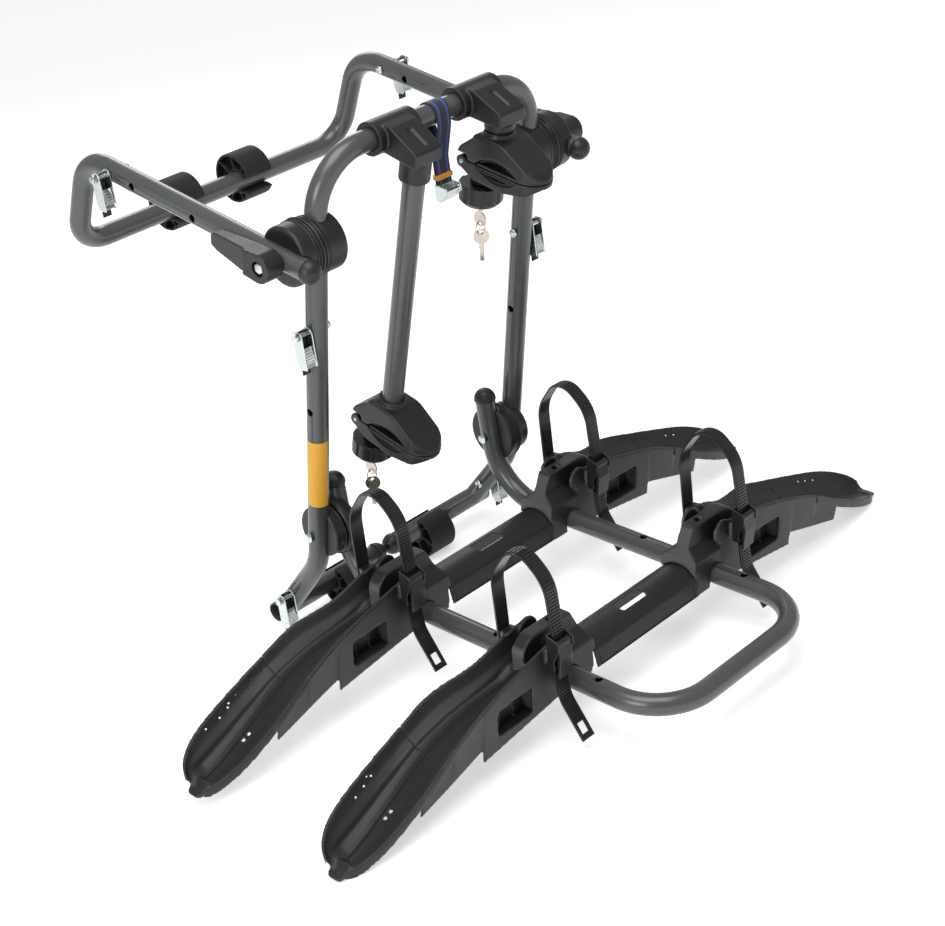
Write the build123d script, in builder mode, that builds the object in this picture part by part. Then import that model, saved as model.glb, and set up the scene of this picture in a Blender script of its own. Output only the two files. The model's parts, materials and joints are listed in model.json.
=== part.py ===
from build123d import *
import math
import os

# Rear bike carrier for two bikes, in millimetres.
# +X runs along the wheel trays, +Y points to the vehicle, +Z is up. The origin is on the floor, under the middle.
# The carrier stands on its two lower pads and on the outer loops of the front tray.

# Driving dimensions of the tubes
tube_d = 30.0
tube_wall = 2.0
cap_plug_fit = 0.15
cap_plug_length = 18.0
cap_over_tube = 1.5
cap_ball_out = 2.0
seat_gap = 0.1
slide_gap = 0.5

# How the carrier stands: the platform falls a little to the front, the mast leans back over it
platform_fall = 3.7
mast_lean = 9.2
bar_above_rails = 659.0

# Mast: the inverted U of the main frame
mast_half_width = 200.0
mast_top_bend_r = 75.0
mast_straight = 625.0
leg_bend_r = 100.0
foot_y = 187.0
foot_below_rails = 63.5
foot_overhang = 22.0
foot_inner_x = 20.0
cross_hole_d = 11.0
cross_hole_down = 365.0
side_bolt_down = 240.0

# Upper arm, outside the mast
arm_outset = 57.0
arm_down = 114.0
arm_rear_reach = 46.0
arm_length = 395.0
arm_drop_out = 432.0
arm_drop_down = 268.0
arm_bend_r = 60.0
arm_corner_r = 50.0
arm_bolt_out = 330.0
arm_hole_out = (157.0, 280.0)

# Platform, inside the mast
rail_inset = 44.0
rail_knuckle_down = 572.0
rail_rise = 57.0
rail_top_lean = 6.0
rail_bend_r = 90.0
rail_front_y = -490.5
rail_corner_r = 80.0
rail_hole_y = (-200.0, -378.0)

# Knuckles
knuckle_bolt_d = 8.0
knuckle_bolt_fit = 0.05
upper_housing_r = 40.0
upper_housing_half = 20.0
upper_disc_r = 41.0
lower_housing_r = 38.0
lower_housing_half = 20.0
lower_disc_r = 42.0
bolt_head_r = 7.5
bolt_head_h = 5.0
housing_chamfer = 2.0
disc_chamfer = 2.5

# Pads that clip on the foot tubes and on the cross tube of the upper arm
pad_width = 50.0
pad_mouth = 24.0
pad_hollow = 14.0
pad_rib = 2.5
foot_pad_x = 88.0
foot_pad_shift = 10.0
arm_pad_x = 66.0
arm_pad_r = 38.0
arm_pad_shift = 11.0

# Wheel trays; distances along a tray are measured from the rail that carries it
tray_y = (-37.0, -301.0)
wall = 4.0
beam_end_in = 32.0
beam_skirt_end_in = 46.0
beam_half_width = 30.0
beam_skirt_half_width = 36.0
beam_side_top = 15.0
beam_crown = 28.0
beam_bottom = -11.0
beam_window = (50.0, 20.0)
beam_wall = 3.0
tongue_half_width = 25.0
tower_foot_in = 52.0
tower_top_in = 26.0
tower_back_out = 12.0
tower_half_width = 30.0
tower_shoulder = 36.0
tower_roof = 52.0
lobe_r = 18.0
tower_top = 79.0
tower_bottom = -16.0
fin_half_width = 11.0
fin_out = 68.0
fin_end_r = 26.0
tray_bolt_d = 6.0
tray_bolt_head_r = 6.0
tray_bolt_recess = 22.0
tray_nut_h = 5.0

# Trough of a scoop, as stations outwards from the rail: distance, then (w, h) of its rear edge, valley, front edge
trough_stations = (
    (12.0, (-33.0, 76.0), (-4.0, 40.0), (31.0, 76.0)),
    (59.0, (-38.0, 66.0), (-8.0, 32.0), (32.0, 69.0)),
    (106.0, (-47.0, 45.0), (-12.0, 24.0), (34.0, 60.0)),
    (172.0, (-60.0, 33.0), (-18.0, 13.0), (38.0, 44.0)),
    (229.0, (-58.0, 17.0), (-20.0, -2.0), (40.0, 21.0)),
    (287.0, (-54.0, 0.0), (-17.0, -24.0), (40.0, -12.0)),
    (344.0, (-48.0, -17.0), (-12.0, -44.0), (37.0, -40.0)),
    (379.0, (-41.0, -31.0), (-9.0, -54.0), (31.0, -54.0)),
    (402.0, (-28.0, -43.0), (-6.0, -60.0), (22.0, -62.0)),
    (411.0, (-14.0, -52.0), (-4.0, -62.0), (10.0, -64.0)),
)
trough_steps = 3
valley_steps = 6
scoop_stations = 6
lip_stations = 4
flap_first = 4
lip_bottom = (-16.0, -37.0)
skirt_bottom = (-18.0, -51.0)
skirt_lean = 8.0
pocket_out = (76.0, 144.0)
pocket_h = (-12.0, 26.0)
pocket_back_w = 8.0
pocket_back_top = (33.0, 22.0)
pocket_rib = 2.5
pocket_ribs = 4
flap_lap = 0.4
flap_skin = 2.6
flap_side = 14.0
loop_out = 406.0
loop_w = 6.0
loop_h = -65.7
loop_length = 26.0
loop_width = 26.0
loop_thickness = 5.0
loop_droop = 25.0
loop_slot = (7.0, 16.0)
rivet_hole_out = 314.0
rivet_hole_w = 5.0
rivet_hole_d = 5.0

# Wheel straps and their ratchet buckles
strap_out = 39.0
strap_width = 22.0
strap_thickness = 2.6
strap_loop = ((-48.6, 46.0), (-53.5, 150.0), (-12.0, 210.0), (38.0, 168.0), (46.5, 96.0))
strap_tail = ((46.5, 44.0), (52.0, 0.0), (88.0, -50.0))
strap_bends = (60.0, 30.0, 55.0, 40.0, 30.0, 40.0)
tail_slot = (12.0, 16.0)
rear_lug_w = 47.0
rear_lug_h = (48.0, 68.0)
front_lug_h = (50.0, 70.0)
ratchet_back_w = 39.0
ratchet_bottom = 44.0
ratchet_top = 96.0
ratchet_width = 30.0
ratchet_sheet = 2.5
ratchet_bridge_w = 49.8
ratchet_pin_d = 5.0
ratchet_pin_fit = 0.05
ratchet_lever_length = 50.0

# Bike arms: x of the arm, extra tilt from the mast, length from the bar to the mouth of its jaw, collar
bike_arms = {"long": (-70.0, 5.3, 442.0, 30.0), "short": (86.0, 0.0, 78.0, 11.5)}
bike_tube_offset = 50.0
bracket_half_width = 25.0
bracket_ring_r = 23.0
bracket_ring_half_width = 38.0
bracket_bar_fit = 0.1
collar_r = 21.0
bracket_drop = 16.0
bracket_nose = 22.0
bracket_nose_top = 5.0
bracket_slot = (9.0, 34.0)
bracket_slot_depth = 3.0
jaw_half_width = 28.0
jaw_pin_y = 42.0
jaw_pin_z = -4.0
jaw_pin_d = 6.0
jaw_pin_fit = 0.05
jaw_eye_r = 9.0
jaw_top = 40.0
jaw_collar = 8.0
jaw_neck_r = 16.0
jaw_pad_thickness = 3.0
jaw_pad_ribs = 7
jaw_pad_rib_sweep = 54.0
socket_floor = 20.0
jaw_tip_y = -88.0
jaw_nose_y = -55.0
mouth_front_y = -60.0
mouth_rear_y = 18.0
mouth_up = 13.0
mouth_down = 13.0
stud_y = 28.0
stud_d = 8.0
stud_top = 8.0
knob_r = 31.0
knob_top = 38.0
knob_height = 31.0
knob_round = 7.0
knob_lobes = 8
knob_flute_r = 5.0
lock_r = 8.0
lock_fit = 0.05
lock_rim = 3.0
lock_depth = 10.0
key_thickness = 2.0
key_bow_r = 11.0

# Clamp levers of the upper knuckles
lever_hub_r = 20.0
lever_half_thickness = 14.0
lever_reach = 104.0
lever_tip_half_height = 10.0
lever_recess = 8.0

# Cam buckles that hang from the frame, and the webbing over the top bar
buckle_width = 20.0
buckle_drop = 46.0
buckle_pin_d = 6.0
buckle_pin_fit = 0.05
buckle_eye_r = 9.0
buckle_sheet = 2.0
foot_bolt_up = 50.0
webbing_x = 12.0
webbing_width = 25.0
webbing_thickness = 1.6
webbing_drop = 118.0
webbing_gap = 2.0
webbing_meet = 60.0
band_down = 82.0
band_height = 7.0
band_thickness = 1.5

# Plain amber strip on the left upright
strip_above_knuckle = (160.0, 54.0)
strip_thickness = 0.4
strip_sweep = 120.0
strip_facing = 222.0

tube_r = tube_d / 2
bore_r = tube_r - tube_wall
arm_half_width = mast_half_width + arm_outset
rail_half_width = mast_half_width - rail_inset
foot_outer_x = mast_half_width + foot_overhang
bolt_r = knuckle_bolt_d / 2
bolt_bore_r = bolt_r + knuckle_bolt_fit
sin_fall = math.sin(math.radians(platform_fall))
cos_fall = math.cos(math.radians(platform_fall))
mast_angle = platform_fall + mast_lean
sin_mast = math.sin(math.radians(mast_angle))
cos_mast = math.cos(math.radians(mast_angle))

# Places along a tray, from the middle of the carrier
tower_x = rail_half_width
beam_half_length = tower_x - beam_end_in
beam_skirt_end_x = tower_x - beam_skirt_end_in
tower_foot_x = tower_x - tower_foot_in
tower_top_x = tower_x - tower_top_in
tower_back_x = tower_x + tower_back_out
fin_end_x = tower_x + fin_out
strap_x = tower_x + strap_out
pocket_x = tuple(tower_x + out for out in pocket_out)

# The outer loop of the front tray is the lowest point of the trays, and it stands on the floor
loop_low = (
    loop_h
    - loop_length / 2 * math.sin(math.radians(loop_droop))
    - loop_thickness / 2 * math.cos(math.radians(loop_droop))
)
loop_front_y = tray_y[1] - loop_w - loop_width / 2
deck_z = -(loop_front_y * sin_fall + loop_low * cos_fall)

# The middle of the box between the front bar and the arm pads is the origin
front_reach = rail_front_y * cos_fall - tube_r
bar_offset_y = -bar_above_rails * sin_fall
pad_reach_y = bar_offset_y + (arm_drop_out + arm_pad_shift) * cos_mast + arm_drop_down * sin_mast + arm_pad_r
deck_y = -(front_reach + pad_reach_y) / 2

deck = Plane(origin=(0, deck_y, deck_z), x_dir=(1, 0, 0), z_dir=(0, -sin_fall, cos_fall))
mast_origin = deck.from_local_coords((0, 0, bar_above_rails))
mast = Plane(origin=mast_origin, x_dir=(1, 0, 0), z_dir=(0, -sin_mast, cos_mast))


def on_deck(x, y, h):
    """Point in the platform's own axes: y to the vehicle along the rails, h square to them."""
    return tuple(deck.from_local_coords((x, y, h)))


def on_mast(x, out, down):
    """Point in the mast's own axes: out to the vehicle, down along the uprights from the top bar."""
    return tuple(mast.from_local_coords((x, out, -down)))


def placed(part, plane):
    """Copy of a piece made in its own axes, set on a plane."""
    with BuildPart(plane) as piece:
        add(part)
    return piece.part


def both_sides(part):
    """A piece and its mirror image across the middle of the carrier."""
    with BuildPart() as pair:
        add(part)
        mirror(about=Plane.YZ)
    return pair.part


def rod(route, bends, radius):
    """Round bar along a route of straight runs and tangent arcs."""
    with BuildPart() as bar:
        with BuildLine() as path:
            FilletPolyline(*route, radius=bends)
        with BuildSketch(Plane(origin=path.line @ 0, z_dir=path.line % 0)):
            Circle(radius)
        sweep()
    return bar.part


def cross_rod(x_from, x_to, centre, radius):
    """Straight round bar along X between two x values."""
    with BuildPart() as bar:
        with BuildSketch(Plane(origin=(x_from, centre[1], centre[2]), z_dir=(1, 0, 0))):
            Circle(radius)
        extrude(amount=x_to - x_from)
    return bar.part


def keep(name, part):
    """Names a finished piece and writes it to its own file."""
    part.label = name
    export_step(part, f"parts/{name}.step")
    print(f"{name}: {len(part.solids())} solids")


os.makedirs("parts", exist_ok=True)

# Main frame
foot = on_deck(0, foot_y, -foot_below_rails)
knuckle_up = on_mast(0, 0, arm_down)
knuckle_low = on_mast(0, 0, rail_knuckle_down)
left_leg = (
    on_mast(-mast_half_width, 0, 0),
    on_mast(-mast_half_width, 0, mast_straight),
    (-mast_half_width, foot[1], foot[2]),
)
right_leg = tuple((-x, y, z) for x, y, z in left_leg)
mast_route = left_leg[::-1] + right_leg
mast_bends = (leg_bend_r, mast_top_bend_r, mast_top_bend_r, leg_bend_r)
leg_run = Vector(*left_leg[1]) - Vector(*left_leg[2])
foot_bolt = tuple(Vector(*left_leg[2]) + leg_run.normalized() * foot_bolt_up)

with BuildPart() as main_frame:
    add(rod(mast_route, mast_bends, tube_r))
    add(both_sides(cross_rod(foot_inner_x, foot_outer_x, foot, tube_r)))
    add(rod(mast_route, mast_bends, bore_r), mode=Mode.SUBTRACT)
    add(both_sides(cross_rod(foot_inner_x, foot_outer_x, foot, bore_r)), mode=Mode.SUBTRACT)
    for hole, hole_r in (
        (on_mast(0, 0, cross_hole_down), cross_hole_d / 2),
        (on_mast(0, 0, side_bolt_down), buckle_pin_d / 2 + seat_gap),
        (foot_bolt, buckle_pin_d / 2 + seat_gap),
        (knuckle_up, bolt_r + seat_gap),
        (knuckle_low, bolt_r + seat_gap),
    ):
        span = mast_half_width + 2 * tube_r
        add(cross_rod(-span, span, hole, hole_r), mode=Mode.SUBTRACT)
keep("main_frame", main_frame.part)

# Ball caps, made with the tube's end at their origin and the ball towards +Z
with BuildPart() as ball_cap:
    with Locations((0, 0, cap_ball_out)):
        Sphere(tube_r + cap_over_tube)
    split(bisect_by=Plane.XY, keep=Keep.TOP)
    with BuildSketch(Plane.XY):
        Circle(bore_r - cap_plug_fit)
    extrude(amount=-cap_plug_length)

foot_cap_plane = Plane(origin=(foot_inner_x, foot[1], foot[2]), z_dir=(-1, 0, 0))
keep("foot_caps", both_sides(placed(ball_cap.part, foot_cap_plane)))


def pad(radius, shift_y, shift_z, mouth_angle):
    """Half-round pad that clips on a tube at the origin, open towards the mouth angle, with ribbed ends."""
    with BuildPart() as block:
        with BuildSketch(Plane.YZ.offset(-pad_width / 2)):
            with Locations((shift_y, shift_z)):
                Circle(radius)
            Circle(tube_r + seat_gap, mode=Mode.SUBTRACT)
            with Locations(Rot(0, 0, mouth_angle) * Pos(radius, 0)):
                Rectangle(2 * radius, pad_mouth, mode=Mode.SUBTRACT)
        extrude(amount=pad_width)
        for end in (-1, 1):
            with BuildSketch(Plane.YZ.offset(end * pad_width / 2)):
                with Locations((shift_y, shift_z)):
                    Circle(radius - wall)
                Circle(tube_r + wall, mode=Mode.SUBTRACT)
                with Locations(Rot(0, 0, mouth_angle) * Pos(radius, 0)):
                    Rectangle(2 * radius, pad_mouth + 2 * wall, mode=Mode.SUBTRACT)
                with PolarLocations(radius, 8, start_angle=mouth_angle + 22.5):
                    Rectangle(2 * radius, pad_rib, mode=Mode.SUBTRACT)
            extrude(amount=-end * pad_hollow, mode=Mode.SUBTRACT)
    return block.part


foot_pad_r = foot[2] - foot_pad_shift
foot_pad = pad(foot_pad_r, -foot_pad_shift, -foot_pad_shift, 90.0)
keep("foot_pads", both_sides(placed(foot_pad, Plane(origin=(foot_pad_x, foot[1], foot[2])))))

# Housings of the four knuckles, clamped round the uprights
mast_outer_rod = rod(mast_route, mast_bends, tube_r + seat_gap)


def housing(centre, radius, inside, outside):
    """Round housing on an upright, from inside the tube's axis to outside it, with the bolt hole through it."""
    with BuildPart() as body:
        add(cross_rod(mast_half_width - inside, mast_half_width + outside, centre, radius))
        chamfer(body.edges().filter_by(GeomType.CIRCLE), length=housing_chamfer)
        add(mast_outer_rod, mode=Mode.SUBTRACT)
        reach = mast_half_width + 2 * inside
        add(cross_rod(0, reach, centre, bolt_r + seat_gap), mode=Mode.SUBTRACT)
    return body.part


with BuildPart() as knuckle_housings:
    add(both_sides(housing(knuckle_up, upper_housing_r, upper_housing_half, upper_housing_half)))
    add(both_sides(housing(knuckle_low, lower_housing_r, lower_housing_half, 0)))
keep("knuckle_housings", knuckle_housings.part)

# Upper arm
arm_side = (
    on_mast(-arm_half_width, -arm_rear_reach, arm_down),
    on_mast(-arm_half_width, arm_length, arm_down),
    on_mast(-arm_half_width, arm_drop_out, arm_drop_down),
)
arm_route = arm_side + tuple((-x, y, z) for x, y, z in arm_side[::-1])
arm_bends = (arm_bend_r, arm_corner_r, arm_corner_r, arm_bend_r)
arm_span = arm_half_width + 2 * tube_r
arm_bolt = on_mast(0, arm_bolt_out, arm_down)
arm_outer_rod = rod(arm_route, arm_bends, tube_r + seat_gap)
with BuildPart() as upper_arm:
    add(rod(arm_route, arm_bends, tube_r))
    add(rod(arm_route, arm_bends, bore_r), mode=Mode.SUBTRACT)
    add(cross_rod(-arm_span, arm_span, knuckle_up, bolt_bore_r), mode=Mode.SUBTRACT)
    add(cross_rod(-arm_span, arm_span, arm_bolt, buckle_pin_d / 2 + seat_gap), mode=Mode.SUBTRACT)
    for out in arm_hole_out:
        add(cross_rod(-arm_span, arm_span, on_mast(0, out, arm_down), cross_hole_d / 2), mode=Mode.SUBTRACT)
keep("upper_arm_tube", upper_arm.part)

arm_cap_plane = Plane(
    origin=on_mast(arm_half_width, -arm_rear_reach, arm_down),
    x_dir=(1, 0, 0),
    z_dir=tuple(-mast.y_dir),
)
keep("arm_end_caps", both_sides(placed(ball_cap.part, arm_cap_plane)))

arm_cross = on_mast(0, arm_drop_out, arm_drop_down)
arm_pad = pad(arm_pad_r, arm_pad_shift, 0.0, 180.0)
arm_pad_plane = Plane(origin=(arm_pad_x, arm_cross[1], arm_cross[2]), x_dir=(1, 0, 0), z_dir=tuple(mast.z_dir))
keep("arm_pads", both_sides(placed(arm_pad, arm_pad_plane)))

upper_disc_in = mast_half_width + upper_housing_half + slide_gap
with BuildPart() as upper_disc:
    add(cross_rod(upper_disc_in, arm_half_width - 1, knuckle_up, upper_disc_r))
    chamfer(upper_disc.edges().filter_by(GeomType.CIRCLE), length=disc_chamfer)
    add(arm_outer_rod, mode=Mode.SUBTRACT)
    add(cross_rod(0, arm_span, knuckle_up, bolt_bore_r), mode=Mode.SUBTRACT)
keep("arm_discs", both_sides(upper_disc.part))

# Clamp levers: hub on the knuckle bolt outside the arm, handle along the arm towards the vehicle
lever_in_x = arm_half_width + tube_r + slide_gap
lever_out_x = lever_in_x + 2 * lever_half_thickness
lever_plane = Plane(
    origin=(lever_in_x, knuckle_up[1], knuckle_up[2]),
    x_dir=tuple(mast.y_dir),
    z_dir=(1, 0, 0),
)
with BuildPart() as clamp_lever:
    with BuildSketch():
        with BuildLine():
            Polyline(
                (0, -lever_hub_r),
                (lever_reach - 12, -lever_tip_half_height - 4),
                (lever_reach, -lever_tip_half_height),
                (lever_reach, lever_tip_half_height - 6),
                (lever_reach - 8, lever_tip_half_height),
                (0, lever_hub_r),
            )
            ThreePointArc((0, lever_hub_r), (-lever_hub_r, 0), (0, -lever_hub_r))
        make_face()
    extrude(amount=2 * lever_half_thickness)
    with BuildSketch(Plane.XZ):
        with BuildLine():
            Polyline(
                (lever_hub_r + 8, 2 * lever_half_thickness - 4),
                (lever_reach + 1, 2 * lever_half_thickness - 14),
                (lever_reach + 1, 2 * lever_half_thickness + 1),
                (lever_hub_r + 8, 2 * lever_half_thickness + 1),
                close=True,
            )
        make_face()
    extrude(amount=2 * lever_hub_r, both=True, mode=Mode.SUBTRACT)
    with BuildSketch():
        Circle(bolt_bore_r)
    extrude(amount=2 * lever_half_thickness, mode=Mode.SUBTRACT)
    with BuildSketch(Plane.XY.offset(2 * lever_half_thickness - lever_recess)):
        Circle(bolt_head_r + 2.5)
    extrude(amount=lever_recess, mode=Mode.SUBTRACT)
    fillet(clamp_lever.edges().filter_by(Axis.Z).group_by(SortBy.LENGTH)[-1], radius=3)
lever_right = placed(clamp_lever.part, lever_plane)
keep("clamp_lever_right", lever_right)
with BuildPart() as lever_left:
    mirror(lever_right, about=Plane.YZ)
keep("clamp_lever_left", lever_left.part)

# Platform
rail_knuckle = on_mast(0, 0, rail_knuckle_down)
rail_knuckle_local = deck.to_local_coords(Vector(*rail_knuckle))
rail_foot_y = rail_knuckle_local.Y - rail_top_lean * rail_knuckle_local.Z / rail_rise
rail_side = (
    on_deck(-rail_half_width, rail_knuckle_local.Y + rail_top_lean, rail_knuckle_local.Z + rail_rise),
    on_deck(-rail_half_width, rail_foot_y, 0),
    on_deck(-rail_half_width, rail_front_y, 0),
)
rail_route = rail_side + tuple((-x, y, z) for x, y, z in rail_side[::-1])
rail_bends = (rail_bend_r, rail_corner_r, rail_corner_r, rail_bend_r)
rail_outer_rod = rod(rail_route, rail_bends, tube_r + seat_gap)
rail_span = rail_half_width + 2 * tube_r
with BuildPart() as platform_tube:
    add(rod(rail_route, rail_bends, tube_r))
    add(rod(rail_route, rail_bends, bore_r), mode=Mode.SUBTRACT)
    add(cross_rod(-rail_span, rail_span, rail_knuckle, bolt_bore_r), mode=Mode.SUBTRACT)
    for side in (-1, 1):
        cross_holes = [(y, cross_hole_d) for y in rail_hole_y]
        bolt_holes = [(y, tray_bolt_d + 4 * seat_gap) for y in tray_y]
        for hole_y, hole_d in cross_holes + bolt_holes:
            drill = Plane(origin=on_deck(side * rail_half_width, hole_y, 0), x_dir=(1, 0, 0), z_dir=deck.z_dir)
            with BuildSketch(drill):
                Circle(hole_d / 2)
            extrude(amount=2 * tube_r, both=True, mode=Mode.SUBTRACT)
keep("platform_tube", platform_tube.part)

rail_cap_plane = Plane(
    origin=(rail_half_width, rail_side[0][1], rail_side[0][2]),
    x_dir=(1, 0, 0),
    z_dir=tuple(Vector(*rail_side[0]) - Vector(*rail_side[1])),
)
keep("platform_end_caps", both_sides(placed(ball_cap.part, rail_cap_plane)))

lower_disc_out = mast_half_width - lower_housing_half - slide_gap
with BuildPart() as lower_disc:
    add(cross_rod(rail_half_width + 1, lower_disc_out, rail_knuckle, lower_disc_r))
    chamfer(lower_disc.edges().filter_by(GeomType.CIRCLE), length=disc_chamfer)
    add(rail_outer_rod, mode=Mode.SUBTRACT)
    add(cross_rod(0, rail_span, rail_knuckle, bolt_bore_r), mode=Mode.SUBTRACT)
keep("platform_discs", both_sides(lower_disc.part))


# Through bolts of the knuckles, with their heads and nuts; the lower ones have the head inside the platform
def through_bolt(centre, head_x, nut_x):
    """Bolt along X with a hexagon head at one end and a nut at the other."""
    with BuildPart() as bolt:
        add(cross_rod(head_x, nut_x, centre, bolt_r))
        for end_x, away in ((head_x, -1), (nut_x, 1)):
            with BuildSketch(Plane(origin=(end_x, centre[1], centre[2]), z_dir=(away, 0, 0))):
                RegularPolygon(bolt_head_r, 6)
            extrude(amount=bolt_head_h)
    return bolt.part


lever_seat_x = lever_out_x - lever_recess + slide_gap
upper_bolt = through_bolt(knuckle_up, mast_half_width - upper_housing_half, lever_seat_x)
lower_head_x = rail_half_width - tube_r - slide_gap
lower_bolt = through_bolt(rail_knuckle, lower_head_x, mast_half_width + tube_r + seat_gap)
with BuildPart() as knuckle_bolts:
    add(both_sides(upper_bolt))
    add(both_sides(lower_bolt))
keep("knuckle_bolts", knuckle_bolts.part)


# Wheel trays, made in their own axes: x along the tray, y = -w (w is positive to the front), z = h over the rails
def across(x):
    """Plane across the tray at x, whose own axes are w and h."""
    return Plane(origin=(x, 0, 0), x_dir=(0, -1, 0), z_dir=(-1, 0, 0))


def section(points, x):
    """Closed face across the tray at x, from (w, h) points."""
    with BuildSketch(across(x)) as face:
        with BuildLine():
            Polyline(*points, close=True)
        make_face()
    return face.sketch


def shell(faces):
    """Run of shell through faces across the tray."""
    with BuildPart() as run:
        for face in faces:
            add(face)
        loft(ruled=True)
    return run.part


def between(index, share):
    """Station part of the way from one driving station to the next, on a smooth curve through all of them."""
    last = len(trough_stations) - 1
    four = [trough_stations[min(max(index + step, 0), last)] for step in (-1, 0, 1, 2)]
    rows = [[station[0], *station[1], *station[2], *station[3]] for station in four]
    blend = []
    for before, near, far, after in zip(*rows):
        rise = far - before
        bend = 2 * before - 5 * near + 4 * far - after
        twist = 3 * (near - far) + after - before
        blend.append(near + share / 2 * (rise + share * (bend + share * twist)))
    out, rear_w, rear_h, valley_w, valley_h, front_w, front_h = blend
    return (tower_x + out, (rear_w, rear_h), (valley_w, valley_h), (front_w, front_h))


def stations_from(first, last):
    """Stations from one driving station to another, with steps on the curve between them."""
    steps = [(index, step / trough_steps) for index in range(first, last) for step in range(trough_steps)]
    return [between(index, share) for index, share in steps] + [between(last - 1, 1.0)]


def valley_curve(rear, valley, front):
    """Points of a bowed trough from its rear edge through the valley to its front edge."""
    points = []
    for step in range(valley_steps + 1):
        share = step / valley_steps
        weights = ((1 - share) * (1 - 2 * share), 4 * share * (1 - share), share * (2 * share - 1))
        w = sum(weight * point[0] for weight, point in zip(weights, (rear, valley, front)))
        h = sum(weight * point[1] for weight, point in zip(weights, (rear, valley, front)))
        points.append((w, h))
    return points


def underside(top, near_w, far_w):
    """The same trough one wall lower, measured square to it, between the skirts."""
    points = []
    for index, (w, h) in enumerate(top):
        before = top[max(index - 1, 0)]
        after = top[min(index + 1, len(top) - 1)]
        slope = (after[1] - before[1]) / (after[0] - before[0])
        points.append((min(max(w, near_w), far_w), h - wall * math.hypot(1, slope)))
    return points


def trough_section(station, bottom, inset):
    """Outline of the scoop's shell: two edges, the valley between them, and a skirt under each edge."""
    x, (rear_edge, rear_top), (valley_w, valley_top), (front_edge, front_top) = station
    rear_w, rear_h = rear_edge + inset, rear_top - inset
    front_w, front_h = front_edge - inset, front_top - inset
    valley_h = valley_top - inset
    foot_w = min(front_w - 1, tower_half_width)
    rear_foot_w = max(rear_w + 1, -tower_half_width - skirt_lean)
    top = valley_curve((rear_edge + wall, rear_h), (valley_w, valley_h), (front_edge - wall, front_h))
    points = [(rear_foot_w, bottom), (rear_w, rear_h - wall), (rear_w, rear_h)]
    points += top
    points += [(front_w, front_h), (front_w, front_h - wall), (foot_w, bottom), (foot_w - wall, bottom)]
    points += underside(top, rear_w + wall, front_w - wall)[::-1]
    points += [(rear_foot_w + wall, bottom)]
    return section(points, x)


def flap_section(station):
    """Outline of the flap's skin, which laps over the end of the scoop and hangs a little down its sides."""
    x, (rear_w, rear_h), (valley_w, valley_h), (front_w, front_h) = station
    top = valley_curve((rear_w + wall, rear_h), (valley_w, valley_h), (front_w - wall, front_h))
    points = [(rear_w, rear_h - flap_side), (rear_w, rear_h)]
    points += top
    points += [(front_w, front_h), (front_w, front_h - flap_side), (front_w - flap_skin, front_h - flap_side)]
    points += [(front_w - flap_skin, front_h - flap_skin)]
    points += [(w, h - flap_skin) for w, h in top[::-1]]
    points += [(rear_w + flap_skin, rear_h - flap_skin), (rear_w + flap_skin, rear_h - flap_side)]
    return section(points, x)


def share_of(pair, x, start, end):
    """Value at x on the straight line from the pair's first value at start to its second at end."""
    return pair[0] + (pair[1] - pair[0]) * (x - start) / (end - start)


def skirt_bottom_at(x):
    """Lower edge of the skirts beyond the lip."""
    return share_of(skirt_bottom, x, lip_end_x, scoop_end_x)


lip_end_x = tower_x + trough_stations[lip_stations - 1][0]
scoop_end_x = tower_x + trough_stations[scoop_stations - 1][0]
tray_bolt_head_h = tower_top - tray_bolt_recess

# The crown of a beam is an arc across it; the scoops leave room for the same arc
crown_rise = beam_crown - beam_side_top
crown_r = (beam_half_width**2 + crown_rise**2) / (2 * crown_rise)
tongue_side_h = beam_crown - crown_r + math.sqrt(crown_r**2 - tongue_half_width**2) + seat_gap

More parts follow.
